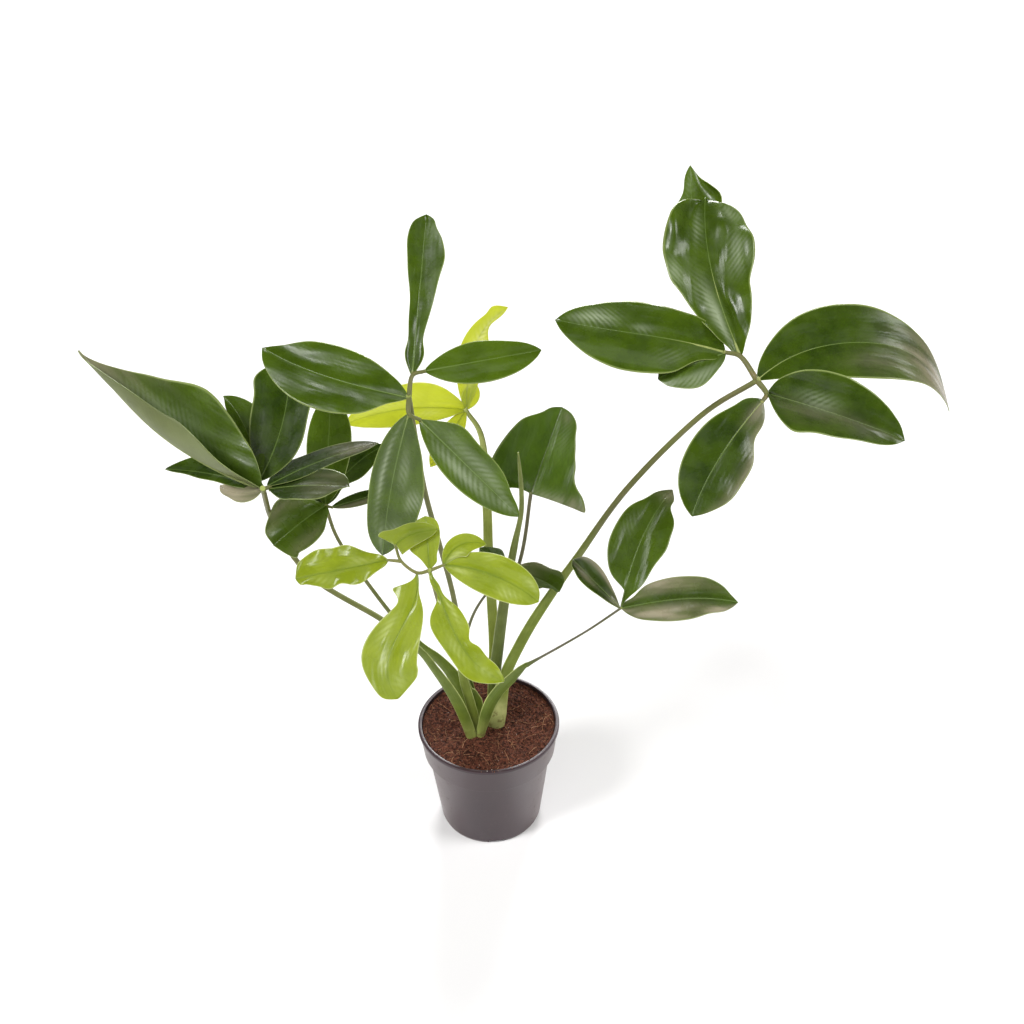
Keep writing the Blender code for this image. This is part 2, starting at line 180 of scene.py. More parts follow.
# %% [markdown]
# ## Floor and light
#
# The plant stands on a plain white studio floor. Two things give its light: a room with
# white walls, which fills the shadows, and soft lamps on all sides, which draw the pale
# gleams on the glossy leaves and light the rims. A waxy leaf looks deep green only where
# it mirrors something dark, so the room's ceiling is much darker than its walls, and the
# wall behind the camera is dimmer than the others.

# %% Floor
FLOOR_SIZE = 30.0
FLOOR_DROP = 0.0002

floor_mesh = bpy.data.meshes.new("studio_floor")
half_floor = 0.5 * FLOOR_SIZE
floor_mesh.from_pydata(
    [(-half_floor, -half_floor, 0.0), (half_floor, -half_floor, 0.0),
     (half_floor, half_floor, 0.0), (-half_floor, half_floor, 0.0)],
    [], [(0, 1, 2, 3)],
)
floor = bpy.data.objects.new("studio_floor", floor_mesh)
bpy.context.scene.collection.objects.link(floor)
floor.location.z = -FLOOR_DROP
floor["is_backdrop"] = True

floor_finish = bpy.data.materials.new("studio_floor")
floor_finish.use_nodes = True
floor_shader = floor_finish.node_tree.nodes["Principled BSDF"]
floor_shader.inputs["Base Color"].default_value = (0.90, 0.89, 0.89, 1.0)
floor_shader.inputs["Roughness"].default_value = 0.9
floor_mesh.materials.append(floor_finish)
print("floor:", FLOOR_SIZE, "m wide")

# %% Studio light
ROOM_BRIGHT = 1.30
ROOM_DARK = 0.14
ROOM_FRONT = 0.60
CEILING_FADE = (0.35, 0.75)
FRONT_FADE = (-0.9, 0.1)

room = bpy.data.worlds.new("white_room")
room.use_nodes = True
tree = room.node_tree
direction = add_node(tree, "ShaderNodeTexCoord").outputs["Generated"]
direction = add_node(tree, "ShaderNodeSeparateXYZ", sockets={"Vector": direction}).outputs
walls = spread(tree, direction["Z"], *CEILING_FADE, ROOM_BRIGHT, ROOM_DARK)
front = spread(tree, direction["Y"], *FRONT_FADE, ROOM_FRONT, 1.0)
fill(tree, tree.nodes["Background"].inputs["Strength"], maths(tree, "MULTIPLY", walls, front))
bpy.context.scene.world = room
bpy.context.scene.view_settings.view_transform = "Standard"


def soft_lamp(name, came_from, strength, softness):
    """A far lamp behind a diffuser: even over the whole floor, with soft shadows."""
    glow = bpy.data.lights.new(name, "SUN")
    glow.energy = strength
    glow.angle = math.radians(softness)
    lamp = bpy.data.objects.new(name, glow)
    bpy.context.scene.collection.objects.link(lamp)
    lamp.rotation_euler = (-Vector(came_from)).to_track_quat("-Z", "Y").to_euler()
    return lamp


soft_lamp("lamp_left", (-0.80, -0.45, 1.0), 2.3, 20.0)
soft_lamp("lamp_right", (1.0, -0.25, 0.80), 1.9, 30.0)
soft_lamp("lamp_back", (0.15, 1.0, 0.50), 2.9, 26.0)
soft_lamp("lamp_front", (-0.25, -1.0, 1.3), 0.6, 50.0)
print("soft lamps: 4")

# %% [markdown]
# ## Shared effects
#
# Three effects come back in many of the materials, so each is a node group, built once.
#
# * `leaf_veins` draws a leaflet's midrib, its side veins and its thin pale margin. It
#   works from two UV maps that the leaf mesh carries: `leaf` runs from 0 to 1 along and
#   across the leaflet, and `ruler` gives real metres along and away from the midrib, so
#   veins keep their spacing on leaflets of every size.
# * `mottle` is the slow, cloudy change of tone that keeps a surface from looking flat.
# * `grain` is the fine roughness of a surface, as a height for bump.

# %% Group: mottle
def new_group(name, inputs, outputs):
    """A shader group with named number inputs and outputs, and its two end nodes."""
    group = bpy.data.node_groups.new(name, "ShaderNodeTree")
    for label, value in inputs:
        socket = group.interface.new_socket(label, in_out="INPUT", socket_type="NodeSocketFloat")
        socket.default_value = value
    for label in outputs:
        group.interface.new_socket(label, in_out="OUTPUT", socket_type="NodeSocketFloat")
    start, end = group.nodes.new("NodeGroupInput"), group.nodes.new("NodeGroupOutput")
    return group, start.outputs, end.inputs


def noise_at(tree, place, **values):
    """A cloudy value from 0 to 1 at each place."""
    return add_node(tree, "ShaderNodeTexNoise", sockets={"Vector": place, **values}).outputs[0]


def own_place(tree):
    """The place of each point in its piece's own frame, in metres."""
    return add_node(tree, "ShaderNodeTexCoord").outputs["Object"]


mottle_group, given, result = new_group(
    "mottle", [("Scale", 30.0), ("Low", 0.35), ("High", 0.65)], ["Mask"],
)
clouds = noise_at(
    mottle_group, own_place(mottle_group), Scale=given["Scale"], Detail=3.0, Roughness=0.55,
)
fill(mottle_group, result["Mask"], spread(mottle_group, clouds, given["Low"], given["High"]))
print("group:", mottle_group.name)

# %% Group: grain
grain_group, given, result = new_group("grain", [("Scale", 900.0), ("Detail", 2.0)], ["Height"])
specks = noise_at(
    grain_group, own_place(grain_group),
    Scale=given["Scale"], Detail=given["Detail"], Roughness=0.6,
)
fill(grain_group, result["Height"], specks)
print("group:", grain_group.name)

# %% Group: leaf veins
def uv_axes(tree, name):
    """The two directions of a UV map, as outputs named X and Y."""
    place = add_node(tree, "ShaderNodeUVMap", {"uv_map": name}).outputs[0]
    return add_node(tree, "ShaderNodeSeparateXYZ", sockets={"Vector": place}).outputs


def off_centre(tree, value):
    """How far a value between 0 and 1 lies from one half, as 0 to 1."""
    return maths(tree, "ABSOLUTE", maths(tree, "MULTIPLY_ADD", value, 2.0, -1.0))


veins_group, given, result = new_group(
    "leaf_veins",
    [("Spacing", 0.007), ("Slant", 0.75), ("Midrib Width", 0.0006)],
    ["Midrib", "Veins", "Margin", "Puff", "Across"],
)
tree = veins_group
ruler, leaf_uv = uv_axes(tree, "ruler"), uv_axes(tree, "leaf")
away = maths(tree, "ABSOLUTE", ruler["Y"])
across = off_centre(tree, leaf_uv["Y"])
taper = maths(tree, "MULTIPLY_ADD", leaf_uv["X"], -0.65, 1.0)
rib_width = maths(tree, "MULTIPLY", given["Midrib Width"], taper)
rib = spread(tree, maths(tree, "DIVIDE", away, rib_width), 0.6, 1.6, 1.0, 0.0)
fill(tree, result["Midrib"], rib)

# A side vein leaves the midrib at a slant and bends towards the tip near the margin
slant = maths(tree, "MULTIPLY_ADD", across, 0.5, given["Slant"])
bend = maths(tree, "MULTIPLY", away, slant)
jitter = noise_at(tree, own_place(tree), Scale=45.0, Detail=1.0)
jitter = maths(tree, "MULTIPLY_ADD", jitter, 0.8, -0.4)
order = maths(tree, "DIVIDE", maths(tree, "SUBTRACT", ruler["X"], bend), given["Spacing"])
order = maths(tree, "ADD", order, jitter)
step_in = off_centre(tree, maths(tree, "FRACT", order))
minor = off_centre(tree, maths(tree, "FRACT", maths(tree, "MULTIPLY", order, 4.0)))
minor_vein = maths(tree, "MULTIPLY", spread(tree, minor, 0.55, 1.0), 0.35)
main_vein = spread(tree, step_in, 0.80, 1.0)
fill(tree, result["Veins"], maths(tree, "MAXIMUM", main_vein, minor_vein))
fill(tree, result["Margin"], spread(tree, across, 0.94, 0.985))
fill(tree, result["Puff"], spread(tree, step_in, 1.0, 0.0))
fill(tree, result["Across"], across)
print("group:", veins_group.name)

# %% [markdown]
# ## Leaf materials
#
# A philodendron leaflet is thick and glossy above and paler and duller below. The gloss
# is the leaf's wax: a smooth clear film over a soft green body, so the Principled
# shader's own specular layer does it, with a roughness that changes a little over the
# blade. Leaves are thin enough to glow when the light is behind them, so a little of a
# Translucent shader is mixed in. The old leaves are deep green, the middle ones fresh
# green, and the youngest bright yellow-green with far more glow.

# %% Leaf material maker
# Each look holds, besides its greens, the paler tint that is laid on as its painted highlights
LeafLook = namedtuple("LeafLook", "deep light vein margin bloom glow gloss glow_share ripple")
# Dry parts of a leaflet fade to this beige, which is also laid on as a painted sheen where a leaf
# mirrors warm light
DRY_AND_SHEEN_TINT = (0.46, 0.40, 0.28)
BACK_TINT = (0.32, 0.31, 0.17)
WAX_SHINE = 0.42


def use_group(tree, group, **values):
    """A node for a shared group; the words of a socket's name are joined by _ here."""
    made = add_node(tree, "ShaderNodeGroup", {"node_tree": group})
    for name, value in values.items():
        fill(tree, made.inputs[name.replace("_", " ")], value)
    return made.outputs


def new_material(name):
    """A material whose only node is its output, ready for a graph."""
    finish = bpy.data.materials.new(name)
    finish.use_nodes = True
    tree = finish.node_tree
    tree.nodes.clear()
    return finish, tree, tree.nodes.new("ShaderNodeOutputMaterial").inputs["Surface"]


def attribute(tree, name):
    """A value that the mesh carries at each of its points."""
    return add_node(tree, "ShaderNodeAttribute", {"attribute_name": name}).outputs["Fac"]


def tinted(tree, colour, tint, mask, amount):
    """A colour with some of a tint laid over it where a mask is high."""
    return mix_colour(tree, maths(tree, "MULTIPLY", mask, amount), colour, tint)


def bumped(tree, height, strength, distance, **under):
    """The direction of the surface, leaned as if it had this height."""
    sockets = {"Strength": strength, "Distance": distance, "Height": height, **under}
    return add_node(tree, "ShaderNodeBump", sockets=sockets).outputs[0]


def streaked(tree, axes, first, second, own=0.0):
    """Noise drawn out along a surface, with how fine it is in each direction."""
    place = add_node(tree, "ShaderNodeCombineXYZ", sockets={
        "X": maths(tree, "MULTIPLY", axes["X"], first),
        "Y": maths(tree, "MULTIPLY", axes["Y"], second), "Z": own,
    })
    return noise_at(tree, place.outputs[0], Scale=1.0, Detail=2.0)


def leaf_body(tree, end, look, colour, roughness, normal):
    """The waxy shader of a leaf, mixed with the light that shines through it."""
    wax = add_node(tree, "ShaderNodeBsdfPrincipled", sockets={
        "Base Color": colour, "Roughness": roughness, "Normal": normal,
        "Specular IOR Level": WAX_SHINE,
    })
    glow = add_node(tree, "ShaderNodeBsdfTranslucent", sockets={
        "Color": look.glow, "Normal": normal,
    })
    both = add_node(tree, "ShaderNodeMixShader")
    for socket, value in zip(both.inputs, (look.glow_share, wax.outputs[0], glow.outputs[0])):
        fill(tree, socket, value)
    tree.links.new(both.outputs[0], end)


def leaf_top(name, look):
    """The glossy upper side, with its veins, pale margin, dry and sheen patches and painted
    highlights.
    """
    finish, tree, end = new_material(name)
    veins = use_group(tree, veins_group)
    cloud = use_group(tree, mottle_group, Scale=38.0)["Mask"]
    shade = maths(tree, "MULTIPLY_ADD", cloud, 0.30, attribute(tree, "tone"))
    paler_out = maths(tree, "POWER", veins["Across"], 3.0)
    shade = maths(tree, "MULTIPLY_ADD", paler_out, 0.22, shade, clamp=True)
    colour = mix_colour(tree, shade, look.deep, look.light)
    colour = tinted(tree, colour, look.vein, veins["Veins"], 0.06)
    colour = tinted(tree, colour, look.vein, veins["Midrib"], 0.7)
    colour = tinted(tree, colour, look.margin, veins["Margin"], 0.8)

    # Long streaks follow the blade: they tint its dry and sheen patches and its painted
    # highlights, and make its gloss uneven
    streaks = streaked(tree, uv_axes(tree, "ruler"), 16.0, 90.0, attribute(tree, "own"))
    uneven = spread(tree, streaks, 0.30, 0.65, 0.35, 1.0)
    # Dry parts fade to a dull beige, and the same beige is a painted sheen where a leaf mirrors
    # warm light
    colour = tinted(tree, colour, DRY_AND_SHEEN_TINT, attribute(tree, "dry"), uneven)
    # Painted highlight: the paler tint of the wax, combed by the side veins and streaks, stands
    # in for the lamps' gleam
    combed = maths(tree, "MULTIPLY_ADD", veins["Puff"], 0.25, streaks)
    combed = spread(tree, combed, 0.35, 0.80, 0.2, 1.0)
    colour = tinted(tree, colour, look.bloom, attribute(tree, "bloom"), combed)

    # The midrib lies in a groove, and the blade swells a little between the side veins
    slow = bumped(tree, streaks, 1.0, look.ripple)
    puff = maths(tree, "MULTIPLY", veins["Puff"], 0.06)
    height = maths(tree, "MULTIPLY_ADD", veins["Midrib"], -0.8, puff)
    fine = maths(tree, "MULTIPLY", use_group(tree, grain_group, Scale=420.0)["Height"], 0.3)
    height = maths(tree, "ADD", height, fine)
    normal = bumped(tree, height, 0.35, 0.0006, Normal=slow)
    rough = use_group(tree, mottle_group, Scale=70.0, Low=0.3, High=0.7)["Mask"]
    rough = maths(tree, "MULTIPLY_ADD", rough, 0.12, look.gloss)
    leaf_body(tree, end, look, colour, rough, normal)
    return finish


def leaf_back(name, look):
    """The duller underside, with veins that stand out instead of in."""
    finish, tree, end = new_material(name)
    veins = use_group(tree, veins_group)
    cloud = use_group(tree, mottle_group, Scale=38.0)["Mask"]
    pale = [0.55 * a + 0.45 * b for a, b in zip(look.light, BACK_TINT)]
    colour = mix_colour(tree, cloud, [0.80 * c for c in pale], pale)
    colour = tinted(tree, colour, look.vein, veins["Veins"], 0.35)
    colour = mix_colour(tree, veins["Midrib"], colour, look.vein)
    fine = use_group(tree, grain_group, Scale=500.0)["Height"]
    height = maths(tree, "MULTIPLY_ADD", veins["Veins"], 0.8, fine)
    leaf_body(tree, end, look, colour, 0.5, bumped(tree, height, 0.3, 0.0005))
    return finish


def leaf_margin(name, look):
    """The thin pale rim between the two sides."""
    finish, tree, end = new_material(name)
    cloud = use_group(tree, mottle_group, Scale=90.0)["Mask"]
    colour = mix_colour(tree, cloud, [0.6 * c for c in look.margin], look.margin)
    shader = add_node(tree, "ShaderNodeBsdfPrincipled", sockets={
        "Base Color": colour, "Roughness": 0.45,
    })
    tree.links.new(shader.outputs[0], end)
    return finish


LOOKS = {
    "leaf_dark": LeafLook(
        deep=(0.018, 0.038, 0.002), light=(0.088, 0.150, 0.007), vein=(0.17, 0.26, 0.06),
        margin=(0.32, 0.40, 0.12), bloom=(0.40, 0.47, 0.30), glow=(0.20, 0.36, 0.005),
        gloss=0.22, glow_share=0.15, ripple=0.0011,
    ),
    "leaf_fresh": LeafLook(
        deep=(0.045, 0.085, 0.006), light=(0.120, 0.205, 0.014), vein=(0.060, 0.085, 0.020),
        margin=(0.30, 0.38, 0.12), bloom=(0.34, 0.40, 0.24), glow=(0.26, 0.46, 0.02),
        gloss=0.28, glow_share=0.20, ripple=0.0011,
    ),
    "leaf_young": LeafLook(
        deep=(0.12, 0.19, 0.010), light=(0.35, 0.42, 0.036), vein=(0.17, 0.26, 0.02),
        margin=(0.66, 0.72, 0.30), bloom=(0.68, 0.75, 0.30), glow=(0.78, 0.86, 0.10),
        gloss=0.20, glow_share=0.34, ripple=0.0022,
    ),
    "leaf_yellow": LeafLook(
        deep=(0.28, 0.36, 0.024), light=(0.54, 0.62, 0.060), vein=(0.22, 0.28, 0.03),
        margin=(0.70, 0.74, 0.30), bloom=(0.80, 0.82, 0.46), glow=(0.98, 0.99, 0.12),
        gloss=0.30, glow_share=0.45, ripple=0.0018,
    ),
}
leaf_finishes = {}
for slot_name, look in LOOKS.items():
    leaf_finishes[slot_name] = [
        leaf_top(slot_name + "_top", look),
        leaf_back(slot_name + "_back", look),
        leaf_margin(slot_name + "_margin", look),
    ]
print("leaf materials:", sum(len(found) for found in leaf_finishes.values()))

# %% [markdown]
# ## Stalk materials
#
# A leaf's stalk starts as a flat sheath, mid green with a pale base, and turns into a
# round petiole, more olive with age. Fine streaks run along it. The stalk mesh carries
# the same two UV maps as the leaflets: `leaf` runs around and along, from 0 to 1, and
# `ruler` gives metres, so the streaks keep their width where the stalk thins.

# %% Stalk material maker
StalkLook = namedtuple("StalkLook", "base pale sheath upper rib")
MARGIN_TINT = (0.54, 0.61, 0.20)
FOOT_SCAR = (0.21, 0.16, 0.06)
PALE_FOOT = (0.38, 0.44, 0.11)


def stalk_colour(tree, look, uv):
    """Pale at the foot, green on the sheath, and more olive up the petiole."""
    risen = uv_axes(tree, "ruler")["Y"]
    wing = attribute(tree, "wing")
    green = spread(tree, risen, look.pale, look.pale + 0.030)
    colour = mix_colour(tree, green, look.base, look.sheath)
    round_part = maths(tree, "SUBTRACT", 1.0, wing)
    colour = tinted(tree, colour, look.upper, spread(tree, uv["Y"], 0.22, 0.55), round_part)
    colour = mix_colour(tree, spread(tree, uv["Y"], 0.985, 1.0, 0.0, 0.7), colour, look.rib)
    # The thin margins of a sheath are pale: they lie at 0 and one half of the way round
    margin = spread(tree, maths(tree, "PINGPONG", uv["X"], 0.25), 0.045, 0.080, 1.0, 0.0)
    colour = tinted(tree, colour, MARGIN_TINT, margin, wing)
    scarred = spread(tree, risen, look.pale, look.pale + 0.010, 0.7, 0.0)
    return colour, scarred


def stalk_finish(name, look, rib=False):
    """Streaked along its length, with dark scars at the foot; a rib is one plain colour."""
    finish, tree, end = new_material(name)
    uv = uv_axes(tree, "leaf")
    colour, scarred = (look.rib, None) if rib else stalk_colour(tree, look, uv)
    streaks = streaked(tree, uv, 60.0, 9.0)
    colour = tinted(tree, colour, look.rib, spread(tree, streaks, 0.35, 0.70), 0.18)
    if not rib:
        scar = use_group(tree, mottle_group, Scale=110.0, Low=0.56, High=0.66)["Mask"]
        colour = tinted(tree, colour, FOOT_SCAR, scar, scarred)
    cloud = use_group(tree, mottle_group, Scale=60.0)["Mask"]
    colour = tinted(tree, colour, [0.6 * c for c in look.sheath], cloud, 0.35)
    shader = add_node(tree, "ShaderNodeBsdfPrincipled", sockets={
        "Base Color": colour, "Roughness": maths(tree, "MULTIPLY_ADD", cloud, 0.12, 0.42),
        "Specular IOR Level": 0.35, "Normal": bumped(tree, streaks, 0.3, 0.0004),
    })
    tree.links.new(shader.outputs[0], end)
    return finish


STALK_LOOKS = {
    "leaf_dark": StalkLook(
        PALE_FOOT, 0.020, (0.125, 0.178, 0.014), (0.142, 0.138, 0.046), (0.28, 0.33, 0.10),
    ),
    "leaf_fresh": StalkLook(
        PALE_FOOT, 0.014, (0.110, 0.148, 0.020), (0.215, 0.245, 0.055), (0.30, 0.38, 0.10),
    ),
    "leaf_young": StalkLook(
        PALE_FOOT, 0.018, (0.175, 0.225, 0.026), (0.210, 0.205, 0.065), (0.44, 0.52, 0.13),
    ),
    # The young back leaf's stalk stands in shade behind the others, so its greens are painted
    # lighter than its own colour, as painted light
    "yellow": StalkLook(
        PALE_FOOT, 0.018, (0.280, 0.340, 0.045), (0.340, 0.370, 0.130), (0.50, 0.56, 0.16),
    ),
    "bulb": StalkLook(
        (0.56, 0.58, 0.22), 0.034,
        (0.205, 0.270, 0.026), (0.135, 0.127, 0.046), (0.34, 0.39, 0.12),
    ),
    "thin": StalkLook(
        PALE_FOOT, 0.020, (0.115, 0.170, 0.013), (0.165, 0.148, 0.100), (0.28, 0.29, 0.14),
    ),
    "brown": StalkLook(
        PALE_FOOT, 0.012, (0.100, 0.115, 0.035), (0.155, 0.140, 0.085), (0.25, 0.26, 0.12),
    ),
}
stalk_finishes = {}
for slot_name, look in STALK_LOOKS.items():
    stalk_finishes[slot_name] = [
        stalk_finish(slot_name + "_stalk", look),
        stalk_finish(slot_name + "_rib", look, rib=True),
    ]
print("stalk materials:", 2 * len(stalk_finishes))

# %% [markdown]
# ## The leaves, as a table
#
# Each leaf grows from its own place in the soil, along a curved stalk, to a hub where
# its leaflets spread. A table says where each stalk passes and where each leaflet's tip
# is, so that one small set of functions can build them all. The sizes are millimetres
# and the angles degrees, as they would be noted beside the real plant.
#
# For a leaf, `via` lists the places that its stalk passes through, `turn` says which way
# its sheath faces, and `arms` are the short branches at the hub. `swell` gives the
# stalk's height, half width and half thickness at some places. Without it, the stalk
# narrows evenly from its `sheath` to its `top`, and a larger `taper` narrows it sooner.
#
# For a leaflet, `arch` bends its midrib towards its face and `sway` to its right,
# `drop` lets the tip hang, `fold` closes it along the midrib, and `wave` ripples its
# margins. `fill` says how blunt the outline is at the root and at the tip, `open` how
# wide it starts, and `lobe` how far its two lobes reach back. `edge` widens or narrows
# one place of the outline, as (place, reach, left, right), `mid` shifts one place of the
# midrib, as (place, reach, face, right), and `curl` rolls a margin, as (side, place,
# reach, start, degrees). `hem` rolls the rear margin of a lobe, as (side, reach,
# degrees), and `crumple` is the height of its puckers. `tone` makes a leaf or a leaflet
# lighter or darker than its neighbours. `dry` fades a patch of a leaflet to a
# dull beige, for its dry parts and as a painted sheen where it mirrors warm light, and
# `bloom` lays the paler tint of the wax over a patch, as a painted highlight
# where the wax gleams; both are given as (place along, reach, place across, reach,
# strength).

# %% Leaf table
Blade = namedtuple(
    "Blade",
    "tip width root roll twist arch sway drop fold wave fill lobe open edge curl mid hem"
    " crumple tone dry bloom",
    defaults=(
        (0, 0, 0), 0, 0, (0, 0), (0, 0), 0, 0, 0.0, (0.8, 0.75), (0, 0), 0.0, (), (), (), (),
        0.8, 0.0, (), (),
    ),
)
Frond = namedtuple(
    "Frond",
    "name slot foot turn via hub top facing arms blades tone look stem swell sheath taper",
    defaults=(None, None, (), None, None),
)

